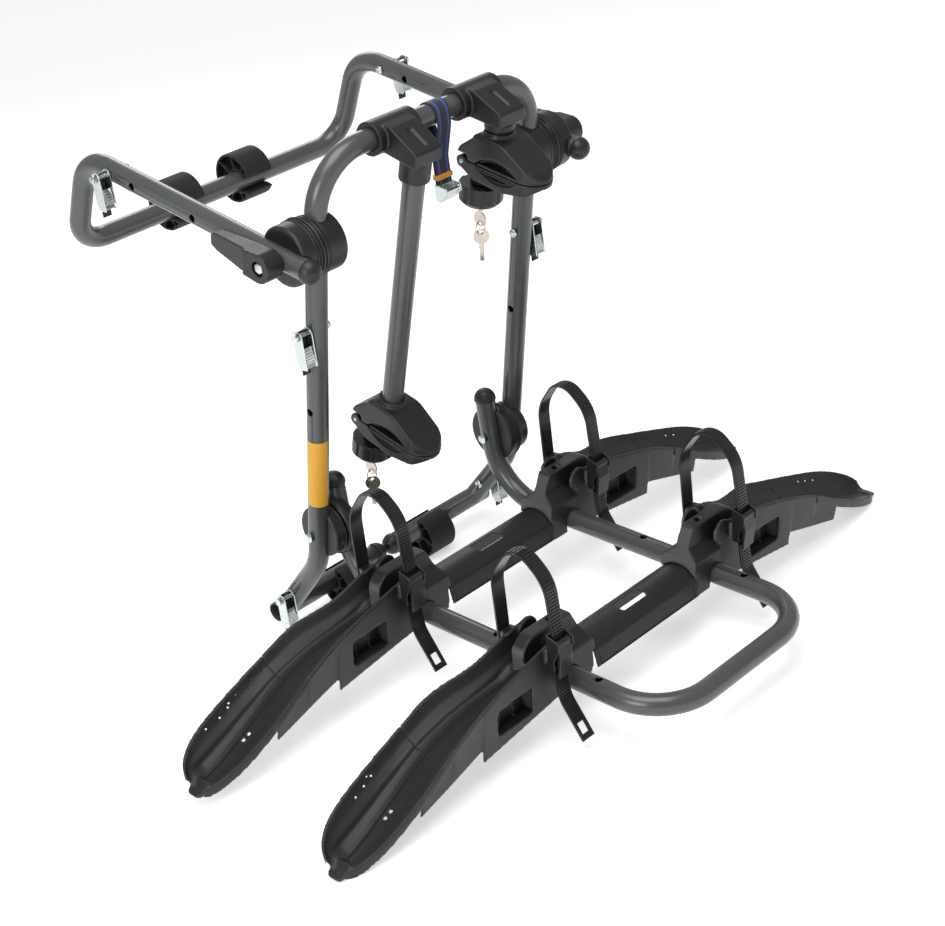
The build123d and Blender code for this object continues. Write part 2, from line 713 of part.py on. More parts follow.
with BuildPart() as scoop:
    lip = stations_from(0, lip_stations - 1)
    add(shell([trough_section(row, share_of(lip_bottom, row[0], lip[0][0], lip_end_x), 0) for row in lip]))
    under_flap = flap_skin + flap_lap
    for first, last, inset in (
        (lip_stations - 1, flap_first, 0),
        (flap_first, scoop_stations - 1, under_flap),
    ):
        add(shell([trough_section(row, skirt_bottom_at(row[0]), inset) for row in stations_from(first, last)]))
    # Ribbed wall behind the pocket
    with BuildSketch(Plane.XZ.offset(pocket_back_w)):
        with BuildLine():
            Polyline(
                (pocket_x[0] - wall, pocket_h[0] - wall),
                (pocket_x[1] + wall, pocket_h[0] - wall),
                (pocket_x[1] + wall, pocket_back_top[1]),
                (pocket_x[0] - wall, pocket_back_top[0]),
                close=True,
            )
        make_face()
    extrude(amount=pocket_rib)
    rib_spacing = (pocket_x[1] - pocket_x[0] + 2 * wall) / (pocket_ribs - 1)
    pocket_middle = ((pocket_x[0] + pocket_x[1]) / 2, (pocket_h[0] - wall + pocket_back_top[1]) / 2)
    with BuildSketch(Plane.XZ.offset(pocket_back_w)):
        with Locations(pocket_middle):
            with GridLocations(rib_spacing, 1, pocket_ribs, 1):
                Rectangle(pocket_rib, pocket_back_top[1] - pocket_h[0] + wall)
    extrude(amount=tower_half_width - pocket_back_w - wall / 2)
    # Roofed block over the rail
    with BuildSketch(across(tower_back_x + 2 * wall)):
        with BuildLine():
            Polyline(
                (-tower_half_width, tower_bottom),
                (-tower_half_width, tower_shoulder),
                (-fin_half_width, tower_roof),
                (fin_half_width, tower_roof),
                (tower_half_width, tower_shoulder),
                (tower_half_width, tower_bottom),
                close=True,
            )
        make_face()
    extrude(amount=tower_back_x + 2 * wall - tower_foot_x + wall)
    # Rounded lobes on both walls beside the fin
    with BuildSketch(Plane.XZ):
        with Locations((tower_back_x + wall, tower_top - lobe_r - 1)):
            Circle(lobe_r)
    extrude(amount=tower_half_width + 1, both=True)
    with BuildSketch(Plane.XZ):
        with Locations((tower_back_x + wall, tower_top - lobe_r - 1)):
            Circle(lobe_r + 1)
    extrude(amount=tower_half_width - wall - 1, both=True, mode=Mode.SUBTRACT)
    # Fin that stands on the block and runs out over the valley
    with BuildSketch(Plane.XZ):
        with BuildLine():
            Polyline(
                (tower_foot_x, tower_shoulder),
                (tower_foot_x, tower_top),
                (fin_end_x - fin_end_r, tower_top),
            )
            RadiusArc((fin_end_x - fin_end_r, tower_top), (fin_end_x, tower_top - fin_end_r), fin_end_r)
            Polyline(
                (fin_end_x, tower_top - fin_end_r),
                (fin_end_x, tower_shoulder - wall),
                (tower_back_x, tower_shoulder - 2 * wall),
                (tower_foot_x, tower_shoulder),
            )
        make_face()
    extrude(amount=fin_half_width, both=True)
    # Lugs that carry the wheel strap behind and its ratchet buckle in front
    with BuildSketch(Plane.XY.offset(rear_lug_h[0])):
        with Locations((strap_x, (tower_half_width + rear_lug_w) / 2)):
            Rectangle(strap_width, rear_lug_w - tower_half_width)
    extrude(amount=rear_lug_h[1] - rear_lug_h[0])
    with BuildSketch(Plane.XY.offset(front_lug_h[0])):
        with Locations((strap_x, -(tower_half_width - wall + ratchet_back_w) / 2)):
            Rectangle(strap_width, ratchet_back_w - tower_half_width + wall)
    extrude(amount=front_lug_h[1] - front_lug_h[0])
    # Slanted front face with the foot of the tower
    with BuildSketch(Plane.XZ):
        with BuildLine():
            Polyline(
                (tower_foot_x - 3 * wall, tower_bottom - 1),
                (tower_foot_x + 10, tower_bottom - 1),
                (tower_foot_x + 10, tower_bottom + 2),
                (tower_foot_x, beam_side_top),
                (tower_foot_x + 5, tower_shoulder),
                (tower_top_x, tower_top),
                (tower_top_x, tower_top + 1),
                (tower_foot_x - 3 * wall, tower_top + 1),
                close=True,
            )
        make_face()
    extrude(amount=tower_half_width + 2 * wall, both=True, mode=Mode.SUBTRACT)
    # Room for the beam, for its tongue, and the hollow behind it
    with BuildSketch(across(beam_skirt_end_x + slide_gap)):
        with BuildLine():
            Polyline(
                (beam_half_width + slide_gap, beam_side_top + seat_gap),
                (beam_skirt_half_width + slide_gap, tower_bottom - 1),
                (-beam_skirt_half_width - slide_gap, tower_bottom - 1),
                (-beam_half_width - slide_gap, beam_side_top + seat_gap),
            )
            ThreePointArc(
                (-beam_half_width - slide_gap, beam_side_top + seat_gap),
                (0, beam_crown + seat_gap),
                (beam_half_width + slide_gap, beam_side_top + seat_gap),
            )
        make_face()
    extrude(amount=4 * wall, mode=Mode.SUBTRACT)
    with BuildSketch(across(beam_half_length + slide_gap)):
        with BuildLine():
            Polyline(
                (tongue_half_width + slide_gap, tongue_side_h),
                (tongue_half_width + slide_gap, tower_bottom - 1),
                (-tongue_half_width - slide_gap, tower_bottom - 1),
                (-tongue_half_width - slide_gap, tongue_side_h),
            )
            ThreePointArc(
                (-tongue_half_width - slide_gap, tongue_side_h),
                (0, beam_crown + seat_gap),
                (tongue_half_width + slide_gap, tongue_side_h),
            )
        make_face()
    extrude(amount=beam_half_length - tower_foot_x + wall, mode=Mode.SUBTRACT)
    # Saddle round the rail, open below, and the bolt's bore with its recess
    with BuildSketch(Plane.XZ):
        with Locations((tower_x, 0)):
            Circle(tube_r + seat_gap)
        with Locations((tower_x, -tube_r)):
            Rectangle(2 * (tube_r + seat_gap), 2 * tube_r)
    extrude(amount=2 * tower_half_width, both=True, mode=Mode.SUBTRACT)
    with BuildSketch(Plane.XY):
        with Locations((tower_x, 0)):
            Circle(tray_bolt_d / 2 + seat_gap)
    extrude(amount=tower_top, mode=Mode.SUBTRACT)
    with BuildSketch(Plane.XY.offset(tray_bolt_head_h)):
        with Locations((tower_x, 0)):
            Circle(tray_bolt_head_r + slide_gap)
    extrude(amount=tray_bolt_recess + 1, mode=Mode.SUBTRACT)
    # Pocket window in the front skirt
    with BuildSketch(Plane.XZ.offset(tower_half_width / 2)):
        with Locations(((pocket_x[0] + pocket_x[1]) / 2, (pocket_h[0] + pocket_h[1]) / 2)):
            RectangleRounded(pocket_x[1] - pocket_x[0], pocket_h[1] - pocket_h[0], 6)
    extrude(amount=2 * tower_half_width, mode=Mode.SUBTRACT)

with BuildPart() as flap:
    add(shell([flap_section(row) for row in stations_from(flap_first, len(trough_stations) - 1)]))
    tip = Plane(
        origin=(tower_x + loop_out, -loop_w, loop_h),
        x_dir=(math.cos(math.radians(loop_droop)), 0, -math.sin(math.radians(loop_droop))),
        z_dir=(math.sin(math.radians(loop_droop)), 0, math.cos(math.radians(loop_droop))),
    )
    with BuildSketch(tip.offset(-loop_thickness / 2)):
        RectangleRounded(loop_length, loop_width, 8)
        with Locations((loop_length / 6, 0)):
            RectangleRounded(loop_slot[0], loop_slot[1], 3, mode=Mode.SUBTRACT)
    extrude(amount=loop_thickness)
    rivet_hole_x = tower_x + rivet_hole_out
    with BuildSketch(Plane.XY.offset(trough_stations[-1][2][1])):
        with Locations((rivet_hole_x, -rivet_hole_w), (rivet_hole_x + 2 * rivet_hole_d, -rivet_hole_w)):
            Circle(rivet_hole_d / 2)
    extrude(amount=2 * tower_half_width, mode=Mode.SUBTRACT)

with BuildPart() as beam:
    with BuildSketch(across(beam_half_length)):
        with BuildLine():
            for side in (-1, 1):
                Polyline(
                    (side * beam_half_width, beam_side_top),
                    (side * beam_skirt_half_width, beam_bottom),
                    (side * (beam_skirt_half_width - beam_wall), beam_bottom),
                    (side * (beam_half_width - beam_wall), beam_side_top - beam_wall),
                )
            ThreePointArc((-beam_half_width, beam_side_top), (0, beam_crown), (beam_half_width, beam_side_top))
            ThreePointArc(
                (beam_wall - beam_half_width, beam_side_top - beam_wall),
                (0, beam_crown - beam_wall),
                (beam_half_width - beam_wall, beam_side_top - beam_wall),
            )
        make_face()
    extrude(amount=2 * beam_half_length)
    for end in (-1, 1):
        tongue = Plane(origin=(end * beam_skirt_end_x, 0, 0), z_dir=(end, 0, 0), x_dir=(0, -1, 0))
        with BuildSketch(tongue):
            Rectangle(4 * beam_skirt_half_width, 4 * beam_crown)
            with Locations((0, -end * beam_crown)):
                Rectangle(2 * tongue_half_width, 2 * (beam_crown - beam_side_top) - 2, mode=Mode.SUBTRACT)
        extrude(amount=beam_half_length, mode=Mode.SUBTRACT)
    with BuildSketch(Plane.XY):
        RectangleRounded(beam_window[0], beam_window[1], 3)
    extrude(amount=2 * beam_crown, mode=Mode.SUBTRACT)

# Bolt of a tray: head on the floor of the recess, shank through the rail, nut under the rail
with BuildPart() as tray_bolt:
    with BuildSketch(Plane.XY.offset(-tube_r - tray_nut_h)):
        with Locations((tower_x, 0)):
            Circle(tray_bolt_d / 2)
    extrude(amount=tray_bolt_head_h + tube_r + tray_nut_h)
    with BuildSketch(Plane.XY.offset(tray_bolt_head_h)):
        with Locations((tower_x, 0)):
            Circle(tray_bolt_head_r)
            RegularPolygon(tray_bolt_d / 2, 6, mode=Mode.SUBTRACT)
    extrude(amount=tray_bolt_d)
    with BuildSketch(Plane.XY.offset(tray_bolt_head_h)):
        with Locations((tower_x, 0)):
            Circle(tray_bolt_head_r)
    extrude(amount=tray_bolt_d / 3)
    with BuildSketch(Plane.XY.offset(-tube_r - seat_gap - tray_nut_h)):
        with Locations((tower_x, 0)):
            RegularPolygon(tray_bolt_d, 6)
    extrude(amount=tray_nut_h)

# Wheel strap: over the wheel from the rear lug, down through the ratchet buckle, and its tail
strap_route = strap_loop + strap_tail
with BuildPart() as wheel_strap:
    with BuildSketch(across(strap_x)):
        with BuildLine():
            FilletPolyline(*strap_route, radius=strap_bends)
        trace(line_width=strap_thickness)
    extrude(amount=strap_width / 2, both=True)
    tail_end = Vector(0, -strap_route[-1][0], strap_route[-1][1])
    tail_run = tail_end - Vector(0, -strap_route[-2][0], strap_route[-2][1])
    tail_face = Plane(
        origin=(strap_x, *tuple(tail_end - tail_run.normalized() * tail_slot[1])[1:]),
        x_dir=(1, 0, 0),
        z_dir=tuple(Vector(1, 0, 0).cross(tail_run)),
    )
    with BuildSketch(tail_face):
        Rectangle(tail_slot[0], tail_slot[1])
    extrude(amount=2 * strap_thickness, both=True, mode=Mode.SUBTRACT)

# Ratchet buckle: a channel with two cheeks, a bridge in front of the strap and the lever's pin
ratchet_pivot = (ratchet_back_w + 15, ratchet_top - 12)
with BuildPart() as ratchet_base:
    with BuildSketch(across(strap_x)):
        with BuildLine():
            Polyline(
                (ratchet_back_w, ratchet_bottom),
                (ratchet_back_w + 11, ratchet_bottom),
                (ratchet_back_w + 12, ratchet_bottom + 16),
                (ratchet_pivot[0] + 6, ratchet_pivot[1] - 8),
                (ratchet_pivot[0] + 6, ratchet_pivot[1] + 4),
                (ratchet_pivot[0], ratchet_top - 4),
                (ratchet_back_w, ratchet_top),
                close=True,
            )
        make_face()
    extrude(amount=ratchet_width / 2, both=True)
    with BuildSketch(across(strap_x)):
        inside_w = ratchet_back_w + ratchet_sheet + 2 * ratchet_width
        with Locations((inside_w, (ratchet_bottom + ratchet_top) / 2)):
            Rectangle(4 * ratchet_width, 2 * (ratchet_top - ratchet_bottom))
    extrude(amount=ratchet_width / 2 - ratchet_sheet, both=True, mode=Mode.SUBTRACT)
    with BuildSketch(across(strap_x)):
        with Locations((ratchet_bridge_w, ratchet_bottom + 4)):
            Rectangle(ratchet_sheet, 6)
        with Locations(ratchet_pivot):
            Circle(ratchet_pin_d / 2)
    extrude(amount=ratchet_width / 2, both=True)

with BuildPart() as ratchet_lever:
    with BuildSketch(across(strap_x)):
        with Locations(ratchet_pivot):
            Circle(ratchet_pin_d)
        with BuildLine():
            Polyline(
                (ratchet_pivot[0] - 2, ratchet_pivot[1]),
                (ratchet_pivot[0] + 4, ratchet_pivot[1]),
                (ratchet_pivot[0] + 6, ratchet_pivot[1] - 20),
                (ratchet_pivot[0] + 2, ratchet_pivot[1] - ratchet_lever_length),
                (ratchet_pivot[0] - 1, ratchet_pivot[1] - ratchet_lever_length),
                (ratchet_pivot[0] - 0.5, ratchet_pivot[1] - 20),
                close=True,
            )
        make_face()
        with Locations(ratchet_pivot):
            Circle(ratchet_pin_d / 2 + ratchet_pin_fit, mode=Mode.SUBTRACT)
    extrude(amount=ratchet_width / 2 - ratchet_sheet - slide_gap, both=True)

tray_planes = {}
for tray_name, y in zip(("rear", "front"), tray_y):
    tray_planes[tray_name] = Plane(origin=on_deck(0, y, 0), x_dir=(1, 0, 0), z_dir=tuple(deck.z_dir))


def other_side(part):
    """The mirror image of a piece across the middle of the carrier."""
    with BuildPart() as copy:
        mirror(part, about=Plane.YZ)
    return copy.part


def on_both_trays(part):
    """The same pieces on the rear tray and on the front tray, in one node."""
    with BuildPart() as group:
        for plane in tray_planes.values():
            add(placed(part, plane))
    return group.part


keep("tray_beams", on_both_trays(beam.part))
keep("tray_flaps", on_both_trays(both_sides(flap.part)))
keep("tray_bolts", on_both_trays(both_sides(tray_bolt.part)))
keep("ratchet_bases", on_both_trays(both_sides(ratchet_base.part)))
for tray_name, plane in tray_planes.items():
    for side_name, turned in (("left", other_side), ("right", lambda part: part)):
        keep(f"{tray_name}_scoop_{side_name}", placed(turned(scoop.part), plane))
        keep(f"{tray_name}_wheel_strap_{side_name}", placed(turned(wheel_strap.part), plane))
        keep(f"{tray_name}_ratchet_lever_{side_name}", placed(turned(ratchet_lever.part), plane))

# Bike arms, made in their own axes: the bar along X at the origin, the tube hanging down along -Z
def bracket(collar_length):
    """Bracket that turns on the top bar and holds the arm's tube in its collar."""
    with BuildPart() as body:
        with BuildSketch(Plane.YZ):
            Circle(bracket_ring_r)
        extrude(amount=bracket_ring_half_width, both=True)
        with BuildSketch(Plane.YZ):
            with BuildLine():
                Polyline(
                    (0, bracket_ring_r - 1),
                    (-bracket_ring_r, bracket_ring_r - 1),
                    (-bike_tube_offset - bracket_nose + 3, bracket_nose_top),
                    (-bike_tube_offset - bracket_nose, bracket_nose_top - 3),
                    (-bike_tube_offset - bracket_nose, -bracket_drop),
                    (0, -bracket_drop),
                    close=True,
                )
            make_face()
        extrude(amount=bracket_half_width, both=True)
        slope_start = Vector(0, -bracket_ring_r, bracket_ring_r - 1)
        slope_end = Vector(0, -bike_tube_offset - bracket_nose, bracket_nose_top)
        square_to_cover = (slope_start - slope_end).cross(Vector(1, 0, 0))
        cover = Plane(origin=(slope_start + slope_end) / 2, x_dir=(1, 0, 0), z_dir=square_to_cover)
        with BuildSketch(cover):
            RectangleRounded(*bracket_slot, 3)
        extrude(amount=bracket_slot_depth, both=True, mode=Mode.SUBTRACT)
        with BuildSketch(Plane.XY.offset(-bracket_drop - collar_length)):
            with Locations((0, -bike_tube_offset)):
                Circle(collar_r)
        extrude(amount=collar_length)
        with BuildSketch(Plane.YZ):
            Circle(tube_r + bracket_bar_fit)
        extrude(amount=bracket_ring_half_width, both=True, mode=Mode.SUBTRACT)
        with BuildSketch(Plane.XY.offset(-bracket_drop - collar_length)):
            with Locations((0, -bike_tube_offset)):
                Circle(tube_r + seat_gap)
        extrude(amount=bracket_drop + collar_length - wall, mode=Mode.SUBTRACT)
    return body.part


# Jaws, in axes whose origin lies on the arm's tube at the level of the mouth
mouth_y = (mouth_front_y + mouth_rear_y) / 2
mouth_half = (mouth_rear_y - mouth_front_y) / 2
arc_up = mouth_up + jaw_pad_thickness
arc_down = mouth_down + jaw_pad_thickness
arc_up_r = (mouth_half**2 + arc_up**2) / (2 * arc_up)
arc_down_r = (mouth_half**2 + arc_down**2) / (2 * arc_down)


def jaw_pad(centre_z, radius, away):
    """Rubber liner of a mouth: a ring slice under the jaw's arc, with a rib every few millimetres."""
    with BuildPart() as liner:
        with BuildSketch(Plane.YZ):
            with Locations((mouth_y, centre_z)):
                Circle(radius - seat_gap)
                Circle(radius - jaw_pad_thickness, mode=Mode.SUBTRACT)
            with Locations((mouth_y, away * (4 + 3 * jaw_half_width))):
                Rectangle(2 * mouth_half - 16, 6 * jaw_half_width, mode=Mode.INTERSECT)
            with Locations((mouth_y, centre_z)):
                first_rib = away * 90 - jaw_pad_rib_sweep / 2
                with PolarLocations(radius - jaw_pad_thickness, jaw_pad_ribs, first_rib, jaw_pad_rib_sweep):
                    Rectangle(2, 2)
        extrude(amount=jaw_half_width - 3, both=True)
    return liner.part


def jaw_outline():
    """Both jaws from above: straight sides and a round nose."""
    with BuildSketch(Plane.XY) as outline:
        with BuildLine():
            Polyline(
                (-jaw_half_width, jaw_nose_y),
                (-jaw_half_width, jaw_pin_y + 2 * jaw_eye_r),
                (jaw_half_width, jaw_pin_y + 2 * jaw_eye_r),
                (jaw_half_width, jaw_nose_y),
            )
            ThreePointArc((-jaw_half_width, jaw_nose_y), (0, jaw_tip_y), (jaw_half_width, jaw_nose_y))
        make_face()
    return outline.sketch


upper_pad = jaw_pad(arc_up - arc_up_r, arc_up_r, 1)
lower_pad = jaw_pad(-slide_gap - arc_down + arc_down_r, arc_down_r, -1)

with BuildPart() as upper_jaw:
    with BuildSketch(Plane.YZ):
        with BuildLine():
            Polyline(
                (mouth_front_y, 0),
                (jaw_tip_y, 0),
                (jaw_tip_y, 5),
                (-78, 14),
                (-30, jaw_top),
                (-collar_r, jaw_top + 2),
                (collar_r, jaw_top + 2),
                (24, 36),
                (46, 18),
                (jaw_pin_y + jaw_eye_r, 8),
                (jaw_pin_y - jaw_eye_r, 8),
                (jaw_pin_y - jaw_eye_r - 2, 0),
                (mouth_rear_y, 0),
            )
            ThreePointArc((mouth_rear_y, 0), (mouth_y, arc_up), (mouth_front_y, 0))
        make_face()
    extrude(amount=jaw_half_width, both=True)
    extrude(jaw_outline(), amount=2 * jaw_top, both=True, mode=Mode.INTERSECT)
    with BuildSketch(Plane.XY.offset(jaw_top)):
        Circle(collar_r)
    extrude(amount=jaw_collar)
    with BuildSketch(Plane.YZ):
        with Locations((jaw_pin_y, jaw_pin_z)):
            Circle(jaw_eye_r)
        with Locations((jaw_pin_y, jaw_pin_z + jaw_eye_r)):
            Rectangle(2 * jaw_eye_r, 2 * jaw_eye_r)
    extrude(amount=jaw_eye_r, both=True)
    with BuildSketch(Plane.XY.offset(socket_floor)):
        Circle(tube_r + seat_gap)
    extrude(amount=jaw_top + jaw_collar, mode=Mode.SUBTRACT)
    with BuildSketch(Plane.YZ):
        with Locations((jaw_pin_y, jaw_pin_z)):
            Circle(jaw_pin_d / 2 + seat_gap)
    extrude(amount=jaw_half_width, both=True, mode=Mode.SUBTRACT)
    with BuildSketch(Plane.XY.offset(-1)):
        with Locations((0, stud_y - 6)):
            Rectangle(stud_d + 4, 26)
    extrude(amount=stud_top + 4, mode=Mode.SUBTRACT)

with BuildPart() as lower_jaw:
    with BuildSketch(Plane.YZ):
        with BuildLine():
            Polyline(
                (mouth_front_y, -slide_gap),
                (jaw_tip_y, -slide_gap),
                (jaw_tip_y + 2, -8),
                (-70, -18),
                (-30, -26),
                (20, -24),
                (jaw_pin_y, jaw_pin_z - jaw_eye_r),
                (jaw_pin_y, jaw_pin_z),
                (jaw_pin_y - jaw_eye_r - 2, -slide_gap),
                (mouth_rear_y, -slide_gap),
            )
            mouth_low = (mouth_y, -slide_gap - arc_down)
            ThreePointArc((mouth_rear_y, -slide_gap), mouth_low, (mouth_front_y, -slide_gap))
        make_face()
        with Locations((jaw_pin_y, jaw_pin_z)):
            Circle(jaw_eye_r)
    extrude(amount=jaw_half_width, both=True)
    extrude(jaw_outline(), amount=2 * jaw_top, both=True, mode=Mode.INTERSECT)
    with BuildSketch(Plane.XY.offset(-knob_top)):
        with Locations((0, stud_y)):
            Circle(jaw_neck_r)
    extrude(amount=knob_top - 12)
    with BuildSketch(Plane.YZ):
        with Locations((jaw_pin_y, jaw_pin_z)):
            Circle(jaw_eye_r + slide_gap)
        with Locations((jaw_pin_y, jaw_pin_z + jaw_eye_r)):
            Rectangle(2 * jaw_eye_r + 2 * slide_gap, 2 * jaw_eye_r)
    extrude(amount=jaw_eye_r + slide_gap, both=True, mode=Mode.SUBTRACT)
    with BuildSketch(Plane.YZ):
        with Locations((jaw_pin_y, jaw_pin_z)):
            Circle(jaw_pin_d / 2 + jaw_pin_fit)
    extrude(amount=jaw_half_width, both=True, mode=Mode.SUBTRACT)
    with BuildSketch(Plane.XY.offset(-knob_top)):
        with Locations((0, stud_y)):
            Circle(stud_d / 2 + jaw_pin_fit)
    extrude(amount=knob_top + jaw_top, mode=Mode.SUBTRACT)

with BuildPart() as jaw_pin:
    with BuildSketch(Plane.YZ.offset(-jaw_half_width)):
        with Locations((jaw_pin_y, jaw_pin_z)):
            Circle(jaw_pin_d / 2)
    extrude(amount=2 * jaw_half_width)

# Fluted knob with its threaded stud and the lock in its underside
with BuildPart() as knob:
    with BuildSketch(Plane.XY.offset(-knob_top - slide_gap)):
        with Locations((0, stud_y)):
            Circle(knob_r)
            with PolarLocations(knob_r + knob_flute_r / 2, knob_lobes):
                Circle(knob_flute_r, mode=Mode.SUBTRACT)
    extrude(amount=-knob_height)
    with BuildSketch(Plane.YZ):
        with BuildLine():
            Polyline(
                (stud_y, -knob_top),
                (stud_y + knob_r, -knob_top),
                (stud_y + knob_r, -knob_top - knob_height + knob_round),
                (stud_y + knob_r - knob_round, -knob_top - slide_gap - knob_height),
                (stud_y, -knob_top - slide_gap - knob_height),
                close=True,
            )
        make_face()
    revolve(axis=Axis((0, stud_y, 0), (0, 0, 1)), mode=Mode.INTERSECT)
    with BuildSketch(Plane.XY.offset(-knob_top - slide_gap)):
        with Locations((0, stud_y)):
            Circle(stud_d / 2)
    extrude(amount=knob_top + slide_gap + stud_top)
    with BuildSketch(Plane.XY.offset(-knob_top - slide_gap - knob_height)):
        with Locations((0, stud_y)):
            Circle(lock_r + 4)
    extrude(amount=-lock_rim)
    with BuildSketch(Plane.XY.offset(-knob_top - slide_gap - knob_height - lock_rim)):
        with Locations((0, stud_y)):
            Circle(lock_r + lock_fit)
    extrude(amount=lock_depth + lock_rim, mode=Mode.SUBTRACT)

# Lock plug and its key in one piece, which turns in the knob
lock_face = -knob_top - slide_gap - knob_height - lock_rim
with BuildPart() as key:
    with BuildSketch(Plane.XY.offset(lock_face)):
        with Locations((0, stud_y)):
            Circle(lock_r)
    extrude(amount=lock_depth + lock_rim - slide_gap)
    with BuildSketch(Plane.YZ):
        with Locations((stud_y, lock_face - 6)):
            Rectangle(7, 14)
        with Locations((stud_y, lock_face - 12 - key_bow_r)):
            Circle(key_bow_r)
            with Locations((0, -key_bow_r + 5)):
                Circle(3, mode=Mode.SUBTRACT)
    extrude(amount=key_thickness / 2, both=True)


def arm_plane(name):
    """The arm's own axes on the top bar: origin on the bar, Z up along the arm's tube."""
    x, tilt = bike_arms[name][:2]
    angle = math.radians(mast_angle + tilt)
    bar_point = on_mast(x, 0, 0)
    return Plane(origin=bar_point, x_dir=(1, 0, 0), z_dir=(0, -math.sin(angle), math.cos(angle)))


for name, (_, _, mouth_down_bar, arm_collar) in bike_arms.items():
    arm_axes = arm_plane(name)
    mouth_origin = arm_axes.from_local_coords((0, -bike_tube_offset, -mouth_down_bar))
    mouth_axes = Plane(origin=tuple(mouth_origin), x_dir=(1, 0, 0), z_dir=tuple(arm_axes.z_dir))
    with BuildPart() as tube:
        with BuildSketch(Plane.XY.offset(-mouth_down_bar + socket_floor)):
            with Locations((0, -bike_tube_offset)):
                Circle(tube_r)
                Circle(bore_r, mode=Mode.SUBTRACT)
        extrude(amount=mouth_down_bar - socket_floor - wall - seat_gap)
    keep(f"{name}_arm_bracket", placed(bracket(arm_collar), arm_axes))
    keep(f"{name}_arm_tube", placed(tube.part, arm_axes))
    keep(f"{name}_upper_jaw", placed(upper_jaw.part, mouth_axes))
    keep(f"{name}_upper_pad", placed(upper_pad, mouth_axes))
    keep(f"{name}_jaw_pin", placed(jaw_pin.part, mouth_axes))
    keep(f"{name}_lower_jaw", placed(lower_jaw.part, mouth_axes))
    keep(f"{name}_lower_pad", placed(lower_pad, mouth_axes))
    keep(f"{name}_knob", placed(knob.part, mouth_axes))
    keep(f"{name}_key", placed(key.part, mouth_axes))

# Bolts that carry the cam buckles: head inside, nut outside the buckle
buckle_in = mast_half_width + tube_r + slide_gap


def buckle_bolt(centre, tube_x):
    """Screw along X through a tube, with room for a buckle between the tube and the nut."""
    head_x = tube_x - tube_r - seat_gap
    nut_x = tube_x + tube_r + buckle_width + 2 * slide_gap
    with BuildPart() as bolt:
        add(cross_rod(head_x, nut_x, centre, buckle_pin_d / 2))
        add(cross_rod(head_x - 4, head_x, centre, buckle_pin_d))
        with BuildSketch(Plane(origin=(nut_x, centre[1], centre[2]), z_dir=(1, 0, 0))):
            RegularPolygon(buckle_pin_d, 6)
        extrude(amount=5)
    return bolt.part


# Cam buckle in its own axes: bolt along X at the origin, body hanging along -Z between x = 0 and its width
with BuildPart() as cam_buckle:
    with BuildSketch(Plane.YZ):
        Circle(buckle_eye_r)
        with BuildLine():
            Polyline(
                (-buckle_eye_r, 0),
                (buckle_eye_r, 0),
                (buckle_eye_r, -buckle_drop + 8),
                (buckle_eye_r - 5, -buckle_drop),
                (-buckle_eye_r, -buckle_drop),
                close=True,
            )
        make_face()
    extrude(amount=buckle_width)
    with BuildSketch(Plane.YZ.offset(buckle_sheet)):
        with Locations((-buckle_sheet, -buckle_drop / 2 + 4)):
            Rectangle(2 * buckle_eye_r, 2 * buckle_drop)
    extrude(amount=buckle_width - 2 * buckle_sheet, mode=Mode.SUBTRACT)
    with BuildSketch(Plane.YZ):
        with Locations((-1, -buckle_drop + 14)):
            Circle(4)
        with BuildLine():
            Polyline(
                (-4, -buckle_drop + 14),
                (2, -buckle_drop + 16),
                (-3, -buckle_drop + 2),
                (-8, -buckle_drop + 2),
                close=True,
            )
        make_face()
    extrude(amount=buckle_width)
    with BuildSketch(Plane.YZ):
        Circle(buckle_pin_d / 2 + buckle_pin_fit)
    extrude(amount=buckle_width, mode=Mode.SUBTRACT)

side_bolt = on_mast(0, 0, side_bolt_down)
with BuildPart() as frame_bolts:
    add(both_sides(buckle_bolt(side_bolt, mast_half_width)))
    add(both_sides(buckle_bolt(foot_bolt, mast_half_width)))
keep("frame_bolts", frame_bolts.part)
keep("arm_bolts", both_sides(buckle_bolt(arm_bolt, arm_half_width)))

upright_buckle = placed(cam_buckle.part, Plane(origin=(buckle_in, side_bolt[1], side_bolt[2])))
arm_buckle_x = arm_half_width + tube_r + slide_gap
arm_buckle = placed(cam_buckle.part, Plane(origin=(arm_buckle_x, arm_bolt[1], arm_bolt[2])))
foot_buckle = placed(cam_buckle.part, Plane(origin=(buckle_in, foot_bolt[1], foot_bolt[2])))
for buckle_name, buckle in (("upright", upright_buckle), ("arm", arm_buckle), ("foot", foot_buckle)):
    keep(f"{buckle_name}_buckle_right", buckle)
    keep(f"{buckle_name}_buckle_left", other_side(buckle))

# Spare webbing strap that hangs plumb over the top bar, with its rubber band and its buckle
webbing_r = tube_r + seat_gap + webbing_thickness / 2 + 0.2
with BuildPart() as spare_strap:
    with BuildSketch(Plane.YZ):
        with BuildLine():
            FilletPolyline(
                (webbing_gap, -webbing_drop),
                (webbing_gap, -webbing_meet),
                (webbing_r, -tube_r),
                (webbing_r, webbing_r),
                (-webbing_r, webbing_r),
                (-webbing_r, -tube_r),
                (-webbing_gap, -webbing_meet),
                (-webbing_gap, -webbing_drop),
                radius=(25, 25, tube_r, tube_r, 25, 25),
            )
        trace(line_width=webbing_thickness)
    extrude(amount=webbing_width / 2, both=True)
strap_hang = Plane(origin=on_mast(webbing_x, 0, 0), x_dir=(1, 0, 0), z_dir=(0, 0, 1))
keep("spare_strap", placed(spare_strap.part, strap_hang))

band_inside = webbing_width / 2 + seat_gap
band_out = webbing_gap + webbing_thickness / 2 + seat_gap
with BuildPart() as strap_band:
    with BuildSketch(Plane.XY.offset(-band_down)):
        Rectangle(2 * band_inside + 2 * band_thickness, 2 * band_out + 2 * band_thickness)
        Rectangle(2 * band_inside, 2 * band_out, mode=Mode.SUBTRACT)
    extrude(amount=-band_height)
keep("strap_band", placed(strap_band.part, strap_hang))

